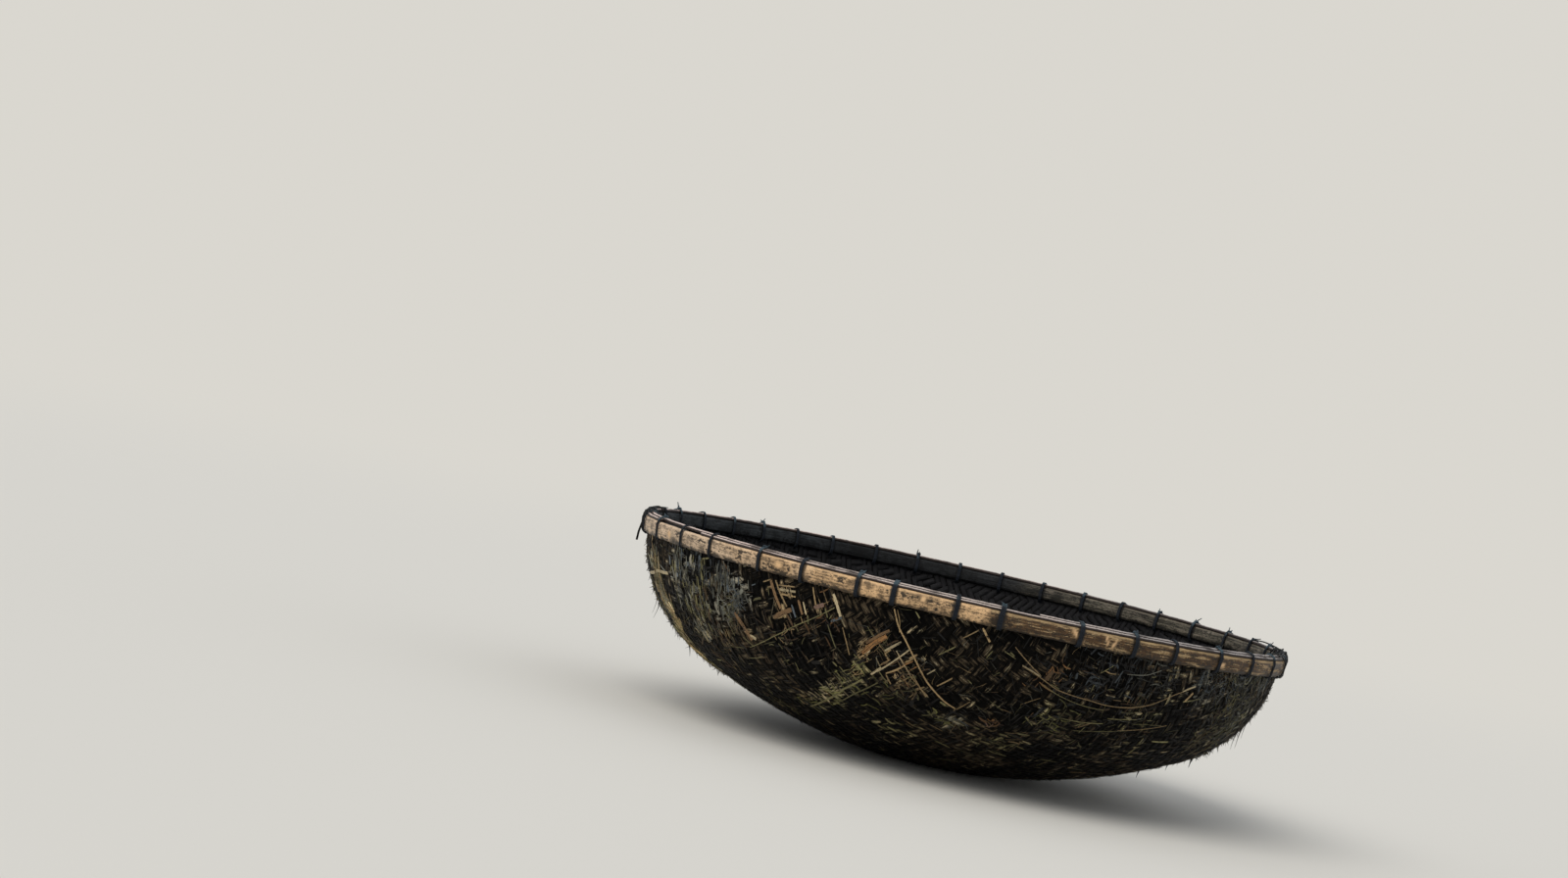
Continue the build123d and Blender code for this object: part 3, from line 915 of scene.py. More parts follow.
# %% Shaggy places
shaggy_places = (   # pixel x, y, spread in metres, number, light, bend, 1 where they hang down, shades
    (692, 572, 0.030, 80, 1.5, 0.2, 1, ("grey", "blue", "olive", "dark")),
    (668, 575, 0.035, 80, 1.5, 0.2, 1, ("olive", "grey", "tan", "dark")),
    (736, 588, 0.025, 50, 0.6, 0.4, 1, ("grey", "blue", "grey")),
    (716, 580, 0.030, 60, 0.7, 0.3, 1, ("blue", "olive", "dark")),
    (752, 612, 0.022, 60, 0.75, 0.5, 0, ("blue", "grey", "grey")),
    (740, 620, 0.020, 40, 0.75, 0.5, 0, ("grey", "grey", "olive")),
    (672, 585, 0.020, 30, 1.4, 0.1, 1, ("olive", "tan", "pale")),
    (673, 600, 0.020, 50, 1.7, 0.1, 1, ("olive", "tan", "pale")),
    (681, 615, 0.025, 90, 1.7, 0.1, 1, ("olive", "tan", "grey")),
    (690, 632, 0.022, 90, 1.9, 0.1, 1, ("olive", "tan", "pale", "dark")),
    (700, 650, 0.025, 110, 2.0, 0.1, 1, ("olive", "tan", "olive", "pale", "dark")),
    (709, 662, 0.025, 100, 2.0, 0.1, 1, ("olive", "tan", "olive", "pale", "dark")),
    (720, 674, 0.022, 80, 1.9, 0.1, 1, ("olive", "tan", "olive", "brown", "dark")),
    (716, 640, 0.020, 60, 1.6, 0.1, 1, ("olive", "grey", "pale", "dark")),
    (704, 610, 0.035, 80, 1.1, 0.3, 1, ("olive", "grey", "dark", "dark")),
    (722, 630, 0.035, 80, 1.1, 0.3, 1, ("olive", "grey", "dark", "brown")),
    (738, 650, 0.030, 40, 0.8, 0.3, 1, ("olive", "tan", "brown", "dark")),
    (800, 655, 0.060, 60, 0.7, 0.2, 0, ("brown", "olive", "dark", "tan")),
    (835, 640, 0.060, 50, 0.6, 0.2, 0, ("brown", "olive", "dark", "orange")),
    (824, 716, 0.022, 26, 1.2, 0.1, 0, ("olive", "moss", "dark", "dark", "tan")),
    (838, 711, 0.022, 34, 1.35, 0.1, 0, ("olive", "moss", "dark", "dark", "pale")),
    (852, 703, 0.020, 34, 1.35, 0.1, 0, ("olive", "moss", "dark", "dark", "pale")),
    (866, 693, 0.020, 34, 1.3, 0.1, 0, ("olive", "moss", "dark", "dark")),
    (878, 682, 0.020, 26, 1.2, 0.1, 0, ("olive", "moss", "dark", "tan")),
    (880, 668, 0.014, 14, 1.0, 0.1, 0, ("olive", "tan", "dark")),
    (803, 721, 0.030, 26, 0.7, 0.1, 0, ("olive", "moss", "dark", "tan")),
    (900, 708, 0.040, 40, 0.6, 0.3, 0, ("olive", "moss", "dark", "dark")),
    (925, 700, 0.030, 30, 0.7, 0.3, 0, ("olive", "dark", "tan")),
    (920, 676, 0.035, 34, 0.9, 0.1, 0, ("tan", "brown", "orange", "dark")),
    (952, 729, 0.012, 10, 0.8, 0.6, 0, ("olive", "moss", "dark")),
    (965, 736, 0.014, 16, 0.8, 0.9, 0, ("olive", "moss", "pale", "dark")),
    (1014, 738, 0.018, 16, 0.8, 0.7, 0, ("orange", "tan", "pink", "dark")),
    (1105, 690, 0.070, 120, 0.24, 0.3, 0, ("dark", "dark", "blue")),
    (1150, 680, 0.060, 120, 0.3, 0.3, 0, ("dark", "dark", "blue")),
    (1185, 695, 0.050, 90, 0.3, 0.3, 0, ("dark", "dark", "grey")),
    (1070, 690, 0.030, 30, 0.7, 0.3, 0, ("orange", "brown", "dark")),
    (1075, 733, 0.035, 50, 0.6, 0.3, 0, ("olive", "moss", "dark")),
    (1020, 755, 0.040, 40, 0.5, 0.3, 0, ("olive", "tan", "dark")),
    (1130, 742, 0.080, 60, 0.4, 0.2, 0, ("olive", "brown", "dark")),
    (1240, 690, 0.060, 150, 0.35, 2.0, 0, ("grey", "blue", "dark", "dark")),
    (1272, 690, 0.060, 200, 0.5, 2.0, 0, ("grey", "blue", "olive", "dark")),
    (1292, 690, 0.030, 80, 0.8, 0.5, 1, ("grey", "blue", "olive", "dark")),
    (1262, 730, 0.050, 120, 0.55, 1.2, 0, ("grey", "olive", "dark")),
    (1245, 755, 0.040, 70, 0.75, 0.5, 0, ("grey", "olive", "tan", "dark")),
    (1225, 752, 0.060, 90, 0.5, 0.5, 0, ("olive", "brown", "dark")),
)
print(sum(place[3] for place in shaggy_places), "splints in the shaggy places that the picture shows")

# %% Shaggy splints
hidden_shaggy = 24                   # shaggy places on the hidden side
shaggy_number, shaggy_bend = 60, 0.3   # splints in each of them, and how much they bend
bundle = Bundle()
shaggy = [(seen(x, y), *rest) for x, y, *rest in shaggy_places]
for azimuth in random.uniform(*hidden_side, hidden_shaggy):
    place = mat_place(azimuth, random.uniform(0.5, 0.95))
    names = shaggy_places[random.integers(len(shaggy_places))][-1]
    hanging = random.integers(2)
    spread, light = random.uniform(0.025, 0.06), random.uniform(0.4, 1.3)
    shaggy.append((place, spread, shaggy_number, light, shaggy_bend, hanging, names))
for middle, spread, number, light, bend, hanging, names in shaggy:
    for _ in range(number):
        place = middle + random.normal(0, spread, 2)
        down = atan2(place[1], place[0]) + random.normal(0, 0.16)
        crossed = random.choice((0, pi / 2)) + random.normal(0, 0.15 + bend / 2)
        strewn_splint(
            bundle,
            place,
            heading=down if hanging else crossed,
            long=random.uniform(0.012, 0.045),
            width=random.uniform(0.0012, 0.0030) + random.exponential(0.0014),
            shade=names[random.integers(len(names))],
            lift=random.uniform(0, 0.0015),
            sprung=random.uniform(0, 0.004),
            bend=bend,
            light=(0.6 * light, 0.6 * light),
        )
shaggy_splints = bundle.finish("shaggy_splints", raw_splint, smooth=False)

# %% [markdown]
# The finest hair stands off the hull and breaks its outline. A fibre is a thin tapered tube of three sides:
# it leaves along the hull, curls to one side and sags under its own weight. Thick short ones make the row
# of teeth on the left edge and the drips of tar under the right one.

# %% A fibre
def add_fibre(bundle, place, heading, long, lift, sag, curl, radius, shade):
    """A thin tapered fibre from a place on the mat. lift, sag and curl are shares of its length."""
    share = np.linspace(0, 1, 8)
    root = on_hull(place[0], place[1], 0.001)
    ahead = on_hull(place[0] + 0.002 * cos(heading), place[1] + 0.002 * sin(heading), 0.001) - root
    ahead /= np.linalg.norm(ahead)
    out = on_hull(place[0], place[1], 0.0) - root
    out /= np.linalg.norm(out)
    beside = np.cross(ahead, out)
    line = root + long * (
        share[:, None] * ahead
        + lift * share[:, None] ** 1.5 * out
        + (curl * (1 - np.cos(share * 3.0)) / 2)[:, None] * beside
        + sag * share[:, None] ** 2 * np.array((0, 0, -1))
    )
    rows = tube(line, radius * (1 - 0.85 * share), tuple(beside + 0.01), 3)
    bundle.add(rows, lengths(line) + random.uniform(0, 9), (0, 0.33, 0.66, 1), np.array(shade)[None, None])


print("fibres can be added")

# %% Fibres that stand off the hull
hidden_tufts = 16
hidden_tuft = (0.09, 30, 0.030, 0.25, 0.2, 0.6, 1.0)   # what follows the place in the list below
fibre_shades = ("grey", "olive", "dark", "brown", "grey", "tan")
tufts = (   # pixel x, y, spread in metres, number, length, lift, sag, curl, thickness
    (657, 565, 0.080, 50, 0.010, 0.7, 0.3, 0.3, 2.4),
    (664, 610, 0.060, 40, 0.010, 0.7, 0.3, 0.3, 2.4),
    (675, 642, 0.060, 40, 0.011, 0.7, 0.3, 0.3, 2.4),
    (695, 672, 0.060, 36, 0.010, 0.7, 0.4, 0.3, 2.4),
    (720, 600, 0.080, 60, 0.030, 0.2, 0.2, 0.6, 1.0),
    (750, 615, 0.050, 60, 0.032, 0.3, 0.2, 0.7, 1.0),
    (700, 625, 0.090, 50, 0.030, 0.2, 0.2, 0.5, 1.0),
    (740, 665, 0.080, 40, 0.025, 0.2, 0.2, 0.6, 1.0),
    (893, 655, 0.040, 40, 0.030, 0.3, 0.1, 0.4, 1.0),
    (930, 680, 0.060, 50, 0.026, 0.2, 0.1, 0.4, 1.0),
    (870, 700, 0.060, 40, 0.024, 0.2, 0.1, 0.5, 1.0),
    (968, 738, 0.040, 40, 0.026, 0.4, 0.2, 0.8, 1.0),
    (1245, 690, 0.090, 80, 0.036, 0.2, 0.2, 0.9, 1.0),
    (1285, 690, 0.090, 80, 0.034, 0.2, 0.2, 0.9, 1.0),
    (1240, 735, 0.100, 60, 0.034, 0.2, 0.3, 0.8, 1.0),
    (1290, 720, 0.060, 40, 0.011, 0.6, 0.4, 0.3, 2.4),
    (1268, 750, 0.060, 40, 0.011, 0.6, 0.5, 0.3, 2.4),
    (1235, 770, 0.070, 40, 0.012, 0.6, 0.5, 0.3, 2.4),
    (1150, 735, 0.150, 70, 0.030, 0.2, 0.1, 0.6, 1.0),
    (1000, 700, 0.200, 80, 0.028, 0.2, 0.1, 0.6, 1.0),
)
bundle = Bundle()
places = [(seen(x, y), *rest) for x, y, *rest in tufts]
for azimuth in random.uniform(*hidden_side, hidden_tufts):
    place = mat_place(azimuth, random.uniform(0.5, 0.97))
    places.append((place, *hidden_tuft))
for middle, spread, number, long, lift, sag, curl, thickness in places:
    for _ in range(number):
        place = middle + random.normal(0, spread / 2, 2)
        if not foot_radius * 1.2 < hypot(*place) < mat_radius - 0.01:
            continue
        shade = np.array(shades[fibre_shades[random.integers(len(fibre_shades))]])
        add_fibre(
            bundle,
            place,
            heading=random.uniform(0, 2 * pi),
            long=long * random.uniform(0.5, 1.5),
            lift=lift * random.uniform(0.2, 1.2),
            sag=sag,
            curl=random.normal(0, curl),
            radius=thickness * random.uniform(0.0005, 0.0011),
            shade=shade * random.uniform(0.2, 0.8),
        )
spikes = (   # pixel x, y, length, lift, sag, radius in metres, shade, light
    (1218, 774, 0.010, 0.2, 2.4, 0.0050, "dark", 1.0),
    (1165, 788, 0.006, 0.2, 3.0, 0.0036, "dark", 1.0),
    (1240, 766, 0.008, 0.3, 1.8, 0.0030, "dark", 1.0),
    (1195, 782, 0.006, 0.2, 2.4, 0.0026, "dark", 1.0),
    (694, 655, 0.024, 0.5, 0.6, 0.0036, "dark", 1.0),
    (672, 640, 0.018, 0.5, 0.3, 0.0024, "dark", 1.0),
    (708, 676, 0.020, 0.5, 0.4, 0.0024, "dark", 1.0),
    (666, 612, 0.044, 0.9, -0.1, 0.0018, "dark", 1.0),
    (667, 608, 0.034, 0.8, 0.3, 0.0016, "dark", 1.0),
    (1270, 742, 0.024, 0.1, 2.0, 0.0030, "olive", 0.3),
    (1265, 748, 0.018, 0.1, 2.2, 0.0026, "grey", 0.3),
    (1274, 738, 0.024, 0.2, 1.2, 0.0022, "grey", 0.3),
)
spike_curl = 0.15
for x, y, long, lift, sag, radius, shade, light in spikes:
    place = seen(x, y)
    heading = atan2(place[1], place[0]) + pi
    shade = np.array(shades[shade]) * light
    add_fibre(bundle, place, heading, long, lift, sag, spike_curl, radius, shade)
loose_fibres = bundle.finish("loose_fibres", raw_splint)
for piece in (long_splints, small_splints, shaggy_splints, loose_fibres):
    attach(piece, "root")

# %% [markdown]
# The rim is a clamp. A wide split bamboo lath goes round outside, a narrower one inside, and two thin
# strips lie over the edge of the basket between them. A lath is one section carried round the boat, so its
# section is drawn as a flat face and spun about the boat's axis. Then its points are moved: bamboo has a
# ridge at each node, and old laths have worn edges.

# %% Places on the gunwale
def gunwale_place(x, y, azimuth):
    """Point for a place in the gunwale's section: x out of the wall and y up along it, in metres."""
    radius = rim_radius + x * cos(lean) + y * sin(lean)
    height = rim_height - x * sin(lean) + y * cos(lean)
    return np.stack(np.broadcast_arrays(radius * np.cos(azimuth), radius * np.sin(azimuth), height), -1)


def waves(values, seed, longest=0.35, layers=4):
    """Smooth noise along a line, between about -1 and 1."""
    wave_random = np.random.default_rng(seed)
    total = np.zeros_like(values)
    for layer in range(layers):
        length = longest / 2.3**layer
        phase, stretch = wave_random.uniform(0, 2 * pi), wave_random.uniform(0.8, 1.2)
        total += np.sin(2 * pi * values / (length * stretch) + phase) / 1.5**layer
    return total / 2


print(f"the rim is {2 * pi * rim_radius:.2f} m long")

# %% Spinning a length of lath
def ring_length(name, outline, start, end, step):
    """A length of lath from one azimuth to another, in degrees: its outline spun about the boat's axis.
    step is the length of one facet along the rim, in metres."""
    bpy.ops.object.select_all(action="DESELECT")
    first = gunwale_place(0, 0, radians(start))
    bpy.ops.mesh.primitive_circle_add(vertices=len(outline), radius=0.01, fill_type="NGON", location=first)
    piece = bpy.context.object
    piece.name = name
    bpy.ops.object.transform_apply(location=True, rotation=True, scale=True)
    for vertex, (x, y) in zip(piece.data.vertices, outline):
        vertex.co = gunwale_place(x, y, radians(start))
    turn = radians(end - start)
    steps = int(turn * rim_radius / step)
    bpy.ops.object.mode_set(mode="EDIT")
    bpy.ops.mesh.select_all(action="SELECT")
    bpy.ops.mesh.spin(steps=steps, angle=turn, center=(0, 0, 0), axis=(0, 0, 1))
    bpy.ops.mesh.select_all(action="SELECT")
    bpy.ops.mesh.normals_make_consistent(inside=False)
    bpy.ops.object.mode_set(mode="OBJECT")
    return piece


print("laths can be spun")

# %% Giving a lath its age
def reshape(piece, start, change, height, marks=None):
    """Moves a lath's points: change takes azimuth, x and y of the section and gives new x and y. The map
    called along gets the grain, and marks paints what the finish shows, from azimuth and y."""
    mesh = piece.data
    points = np.zeros(len(mesh.vertices) * 3)
    mesh.vertices.foreach_get("co", points)
    points = points.reshape(-1, 3)
    azimuth = np.arctan2(points[:, 1], points[:, 0])
    azimuth = radians(start) + (azimuth - radians(start) + 0.01) % (2 * pi) - 0.01
    out, up = np.hypot(points[:, 0], points[:, 1]) - rim_radius, points[:, 2] - rim_height
    x, y = out * cos(lean) - up * sin(lean), out * sin(lean) + up * cos(lean)
    mesh.vertices.foreach_set("co", gunwale_place(*change(azimuth, x, y), azimuth).ravel())
    corner = np.zeros(len(mesh.loops), int)
    mesh.loops.foreach_get("vertex_index", corner)
    while mesh.uv_layers:
        mesh.uv_layers.remove(mesh.uv_layers[0])
    layer = mesh.uv_layers.new(name="along")
    grain = np.stack([azimuth * rim_radius, (y - y.min()) / height], -1)
    layer.uv.foreach_set("vector", grain[corner].ravel())
    shade = np.zeros((len(azimuth), 4))
    if marks is not None:
        shade[:, :3] = marks(azimuth, y)
    colour = mesh.color_attributes.new("shade", "FLOAT_COLOR", "POINT")
    colour.data.foreach_set("color", shade.ravel())
    mesh.shade_smooth()
    mesh.update()


print("laths can be reshaped")

# %% [markdown]
# Split bamboo is never one colour. Its fibres run along the lath, so the noise that makes its streaks is
# stretched along the piece, and several noises of different lengths add up to a tone that picks a paler or
# a browner wood. Dirt settles at the nodes and where cords hold it, and beside the cords the darkening is
# also painted contact shadow. The lower edge is darker as painted shade, and the upper lip is lighter as a
# painted highlight. The outer lath is pink at one end, golden in the middle and dark brown at the other end,
# so its colours change along X.

# %% Lighter and darker colours
def shaded(colour, share):
    """A colour made lighter or darker."""
    return tuple(min(share * part, 0.8) for part in colour)


print("grey made darker:", shaded((0.5, 0.5, 0.5), 0.5))


# %% Finish of the laths
def lath_finish(name, colours, mould_amount, gloss=0.3, turns_dark=(0.1, 0.4), bleached=(0.2, 0.17, 0.13)):
    """Split bamboo: long fibres, nodes, mould and dirt, with painted shade along the lower edge and beside
    the lashings, and a painted highlight along the top. colours are those of the left, the middle and the
    right of the boat and of the dirt and painted shade. turns_dark is from where to where along X it becomes
    the right's."""
    left, middle, right, dirt_and_shade = colours
    wood = Finish(name, specular_ior_level=gloss)
    along, place = wood.along(), wood.place()
    across = wood.parts(along)[1]
    node, scraped, tied = wood.parts(wood.attribute("shade"))
    x = wood.parts(place)[0]
    fibre = wood.noise(wood.scaled(along, (5, 12, 1)), 1.0, 5, 0.65)
    streak = wood.noise(wood.scaled(along, (14, 4, 1)), 1.0, 5, 0.6)
    blot = wood.noise(wood.scaled(along, (26, 1.8, 1)), 1.0, 5, 0.65)
    speck = wood.noise(wood.scaled(along, (100, 8, 1)), 1.0, 4, 0.7)
    patch = wood.noise(place, 8.0, 4, 0.6)
    grit = wood.noise(place, 250.0, 4, 0.7)
    to_middle = wood.between(x + (patch - 0.5) * 0.3, -0.80, -0.35)
    to_right = wood.between(x + (patch - 0.5) * 0.12, *turns_dark)

    def from_left(first, second, last):
        return wood.mix(to_right, wood.mix(to_middle, first, second), last)

    colour = from_left(left, middle, right)
    paler = from_left(shaded(left, 1.5), shaded(middle, 1.45), bleached)
    browner = from_left(shaded(left, 0.38), shaded(middle, 0.34), shaded(right, 0.35))
    tone = (blot - 0.5) * 0.45 + (streak - 0.5) * 0.3 + (fibre - 0.5) * 0.25 + 0.5
    colour = wood.mix(1 - wood.between(tone, 0.37, 0.51), colour, browner)
    colour = wood.mix(wood.between(tone, 0.54, 0.66) * 0.9, colour, paler)
    # mould grows in patches, most of all in the middle of the boat
    heart = wood.between(x, -0.75, -0.25) * (1 - wood.between(x, 0.45, 0.75))
    mould = wood.between(speck * 0.15 + streak * 0.2 + blot * 0.35 + patch * 0.3 + heart * 0.05, 0.56, 0.66)
    colour = wood.mix(mould * mould_amount, colour, dirt_and_shade)
    # the right has rusty patches and flakes of paler wood
    rust = wood.between(blot * 0.6 + speck * 0.2 + streak * 0.2, 0.49, 0.56) * to_right
    colour = wood.mix(rust * 0.9, colour, shaded(right, 0.20))
    flake = wood.between(streak * 0.45 + fibre * 0.3 + speck * 0.25, 0.56, 0.62) * to_right
    colour = wood.mix(flake * 0.8, colour, bleached)
    colour = wood.mix(wood.between(grit * 0.5 + speck * 0.5, 0.60, 0.70) * 0.8 * mould_amount, colour, dirt_and_shade)
    colour = wood.mix(node * 0.8, colour, dirt_and_shade)
    colour = wood.mix(scraped, colour, shaded(middle, 1.3))
    # painted shade along the lower edge, a painted highlight along the upper lip, and beside the lashings a
    # stain that is dirt and painted contact shadow
    low = 1 - wood.between(across + (blot - 0.5) * 0.4 + (grit - 0.5) * 0.1, 0.0, 0.30)
    colour = wood.mix(low * 0.85, colour, dirt_and_shade)
    painted_top_highlight = wood.between(across + (blot - 0.5) * 0.15, 0.82, 0.96)
    colour = wood.mix(painted_top_highlight * 0.6, colour, paler)
    colour = wood.mix(wood.between(tied + (blot - 0.5) * 0.5, 0.3, 0.9) * 0.85, colour, dirt_and_shade)
    height = fibre * 0.5 + streak * 0.3 + grit * 0.1 - mould * 0.2
    wood.surface(
        base_color=colour,
        roughness=wood.between(fibre, 0.2, 0.8) * 0.25 + 0.42,
        normal=wood.bump(height, 0.0016),
    )
    return wood.material


golden_colours = ((0.50, 0.37, 0.25), (0.55, 0.355, 0.185), (0.112, 0.058, 0.021), (0.016, 0.012, 0.008))
# the inner lath is the same bamboo as the outer one, much darker: wet wood and painted shade
dark_colours = ((0.034, 0.038, 0.040), (0.016, 0.017, 0.018), (0.115, 0.102, 0.075), (0.005, 0.005, 0.005))
straw = (0.45, 0.31, 0.155)
golden_lath = lath_finish("golden_lath", golden_colours, 0.95, turns_dark=(0.06, 0.16), bleached=straw)
dark_lath = lath_finish("dark_lath", dark_colours, 0.9, gloss=0.15)
print(len(golden_lath.node_tree.nodes), "nodes in the finish of the laths")


# %% Finish of the cap strips
def cap_finish(name, left, middle, right, side_shade_and_dirt):
    """Thin bamboo strip: silver on top, and dark on its sides, which is painted shade."""
    cap = Finish(name, specular_ior_level=0.3)
    along, place = cap.along(), cap.place()
    across = cap.parts(along)[1]
    x = cap.parts(place)[0]
    fibre = cap.noise(cap.scaled(along, (8, 9, 1)), 1.0, 5, 0.65)
    patch = cap.noise(place, 12.0, 4, 0.6)
    grit = cap.noise(place, 260.0, 4, 0.7)
    side = x + (patch - 0.5) * 0.3
    colour = cap.mix(cap.between(side, -0.6, -0.1), left, middle)
    colour = cap.mix(cap.between(side, 0.1, 0.6), colour, right)
    colour = cap.mix(cap.between(patch + fibre * 0.5, 0.85, 1.1) * 0.8, colour, side_shade_and_dirt)
    # painted shade on the strip's sides, below its top
    painted_side_shade = 1 - cap.between(across + (fibre - 0.5) * 0.1, 0.66, 0.84)
    colour = cap.mix(painted_side_shade, colour, side_shade_and_dirt)
    colour = cap.mix((1 - cap.between(grit, 0.2, 0.4)) * 0.6, colour, side_shade_and_dirt)
    cap.surface(base_color=colour, roughness=0.55, normal=cap.bump(fibre + grit * 0.4, 0.0007))
    return cap.material


silver_cap = cap_finish(
    "silver_cap",
    left=(0.66, 0.53, 0.47),
    middle=(0.56, 0.47, 0.42),
    right=(0.40, 0.36, 0.34),
    side_shade_and_dirt=(0.030, 0.020, 0.016),
)
print(len(silver_cap.node_tree.nodes), "nodes in the finish of the cap strips")

# %% Where the lashings are
lashings = {   # sector: (azimuth, width in millimetres)
    "near_left": ((-169.5, 12), (-158.0, 9), (-147.2, 9), (-138.1, 10), (-126.2, 12),
                  (-117.3, 14), (-107.1, 15), (-100.9, 17), (-90.5, 16)),
    "near_right": ((-82.9, 18), (-69.5, 17), (-59.3, 16), (-51.1, 14), (-40.0, 15),
                   (-29.8, 13), (-19.8, 12), (-9.5, 12)),
    "far_right": ((1.0, 12), (11.6, 12), (20.5, 12), (30.1, 12), (40.2, 14), (49.7, 14),
                  (58.1, 14), (66.5, 14), (74.9, 14), (83.3, 14)),
    "far_left": ((91.7, 14), (100.1, 14), (108.5, 14), (117.7, 14), (125.7, 12), (134.0, 12),
                 (141.8, 12), (151.5, 12), (161.1, 10), (169.6, 10), (178.6, 12)),
}
tied_places = [lashing for row in lashings.values() for lashing in row]
print(len(tied_places), "lashings")

# %% Section of a lath
seat, butt_gap = 0.0003, 0.002       # metres between pieces that lie or butt together
gap_angle = degrees(butt_gap / 2 / rim_radius)
back_round, face_round = 0.0008, 0.0018   # metres that the edges are rounded
lath_edge = 0.009                    # metres that the outer lath is thick at its edges


def lath_outline(back, side, top, height, edge, crown):
    """Section of a lath: flat against the wall, rounded edges, bulging away from the wall."""
    foot = top - height
    flat = back + side * back_round
    brow = back + side * (edge - face_round)
    points = [(back, top - back_round), (flat, top), (brow, top)]
    for share in np.linspace(0.04, 0.96, 9):
        bulge = edge + (crown - edge) * sin(pi * share) ** 0.7
        points.append((back + side * bulge, top - share * height))
    return points + [(brow, foot), (flat, foot), (back, foot + back_round)]


print(len(lath_outline(0, 1, 0, 0.05, 0.009, 0.0136)), "corners in the section of a lath")


# %% Age of a lath
def aged(side, back, top, height, nodes, seed, chip=None):
    """What age does to a lath: a ridge at each bamboo node, worn edges, and a broken place. chip is the
    broken place's azimuth, half length in degrees and depth in metres."""
    def change(azimuth, x, y):
        face = np.clip((side * (x - back)) / lath_edge, 0, 1)
        low = np.clip((top - y) / height, 0, 1)
        arc = azimuth * rim_radius
        x = x - side * face * 0.0006 * (1 + waves(arc, seed))
        for node in nodes:
            off = (arc - radians(node) * rim_radius + 0.004 * np.sin(low * 9)) / 0.0045
            x = x + side * face * (0.0011 * np.exp(-off**2) - 0.0005 * np.exp(-((off - 2.2) ** 2)))
        y = y + low**6 * (0.0011 + 0.0009 * waves(arc, seed + 1, 0.12) + 0.0006 * waves(arc, seed + 2, 0.03))
        y = y - (1 - low) ** 8 * 0.0006 * (1 + waves(arc, seed + 3, 0.2))
        if chip is not None:
            middle, half, depth = chip
            near = np.clip(1 - np.abs(azimuth - radians(middle)) / radians(half), 0, 1)
            rough = 0.7 + 0.5 * waves(arc + y * 3, seed + 4, 0.02)
            bite = np.clip(near * 3, 0, 1) * np.exp(-(((low - 0.42) / 0.2) ** 2)) * rough
            x = x - side * face * depth * bite
        return x, y
    return change


print("laths can age")


# %% Marks on a lath
def marked(top, height, nodes, scrapes, tied):
    """Where a lath shows a node, a pale scrape or the stain beside a lashing, which is dirt and painted
    contact shadow.
    """
    def marks(azimuth, y):
        low = np.clip((top - y) / height, 0, 1)
        arc = azimuth * rim_radius
        node, scrape, stain = np.zeros((3, len(arc)))
        for place in nodes:
            off = arc - radians(place) * rim_radius + 0.004 * np.sin(low * 9)
            node = np.maximum(node, np.exp(-((off / 0.0028) ** 2)))
        for place, along, high, slant in scrapes:
            off = (arc - radians(place) * rim_radius) / along
            scrape = np.maximum(scrape, np.exp(-(off**4) - ((low - high - slant * off) / 0.16) ** 4))
        # beside each lashing: a stain that is dirt and painted contact shadow
        for place, width in tied:
            off = (arc - radians(place) * rim_radius) / (width / 2000 + 0.005)
            stain = np.maximum(stain, np.exp(-(off**4)))
        return np.stack([node, scrape, stain], -1)
    return marks


scrapes = (   # azimuth, half length in metres, middle from top to bottom, slant
    (-70.0, 0.020, 0.45, 0.35), (-122.0, 0.012, 0.4, 0.0), (-152.0, 0.010, 0.5, 0.1),
    (-96.0, 0.008, 0.3, 0.0), (-39.0, 0.010, 0.6, 0.0), (64.0, 0.016, 0.4, 0.2),
    (120.0, 0.020, 0.5, -0.2), (150.0, 0.012, 0.4, 0.0), (-4.0, 0.070, 0.45, 0.0),
    (-64.8, 0.007, 0.30, 0.3), (-63.4, 0.006, 0.55, -0.2),
)
print(len(scrapes), "pale scrapes")


# %% Outer and inner laths
def round_from(start, azimuth):
    """The same azimuth, counted on from start."""
    return start + (azimuth - start) % 360


lath_step = 0.006                    # metres
rims = (   # name, side (1 outside, -1 inside), back, top, height, thickness at the edges and at the
           # crown in metres, then the azimuths of its joints and of its nodes
    ("outer_lath", 1, seat, 0.0, 0.050, lath_edge, 0.0136, (-66.5, 113.0),
     (-171, -149, -132, -113, -96, -76, -55, -34, -14, 7, 28, 47, 66, 86, 104, 125, 146, 165)),
    ("inner_lath", -1, -wall_thickness - seat, 0.002, 0.042, 0.0075, 0.0113, (40.2, -147.2),
     (-160, -139, -119, -98, -79, -58, -37, -17, 5, 24, 45, 64, 82, 103, 123, 142, 160, 178)),
)
for name, side, back, top, height, edge, crown, joints, nodes in rims:
    outline = lath_outline(back, side, top, height, edge, crown)
    for number, (start, end) in enumerate((joints, joints[::-1]), start=1):
        end = round_from(start, end)
        span = (start + gap_angle, end - gap_angle)
        piece = ring_length(f"{name}_bamboo_{number}", outline, *span, lath_step)
        here = [round_from(start, node) for node in nodes]
        here = [node for node in here if start + 2 < node < end - 2]
        chip = (end - 2.0, 1.3, 0.006) if name == "outer_lath" and number == 2 else None
        change = aged(side, back, top, height, here, 10 * number + side, chip)
        scraped = [(round_from(start, place), *rest) for place, *rest in scrapes] if side == 1 else []
        tied = [(round_from(start, place), width) for place, width in tied_places]
        reshape(piece, start, change, height, marked(top, height, here, scraped, tied))
        piece.data.materials.append(golden_lath if side == 1 else dark_lath)
        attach(piece, "root")
        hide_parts(f"{name}_{number}")
        print(piece.name, len(piece.data.polygons), "faces")

# %% [markdown]
# Two thin strips cover the basket's edge and the gap between the laths. They are spun in the same way, from
# a section with a rounded back, and their width and height waver a little as hand-split bamboo does.

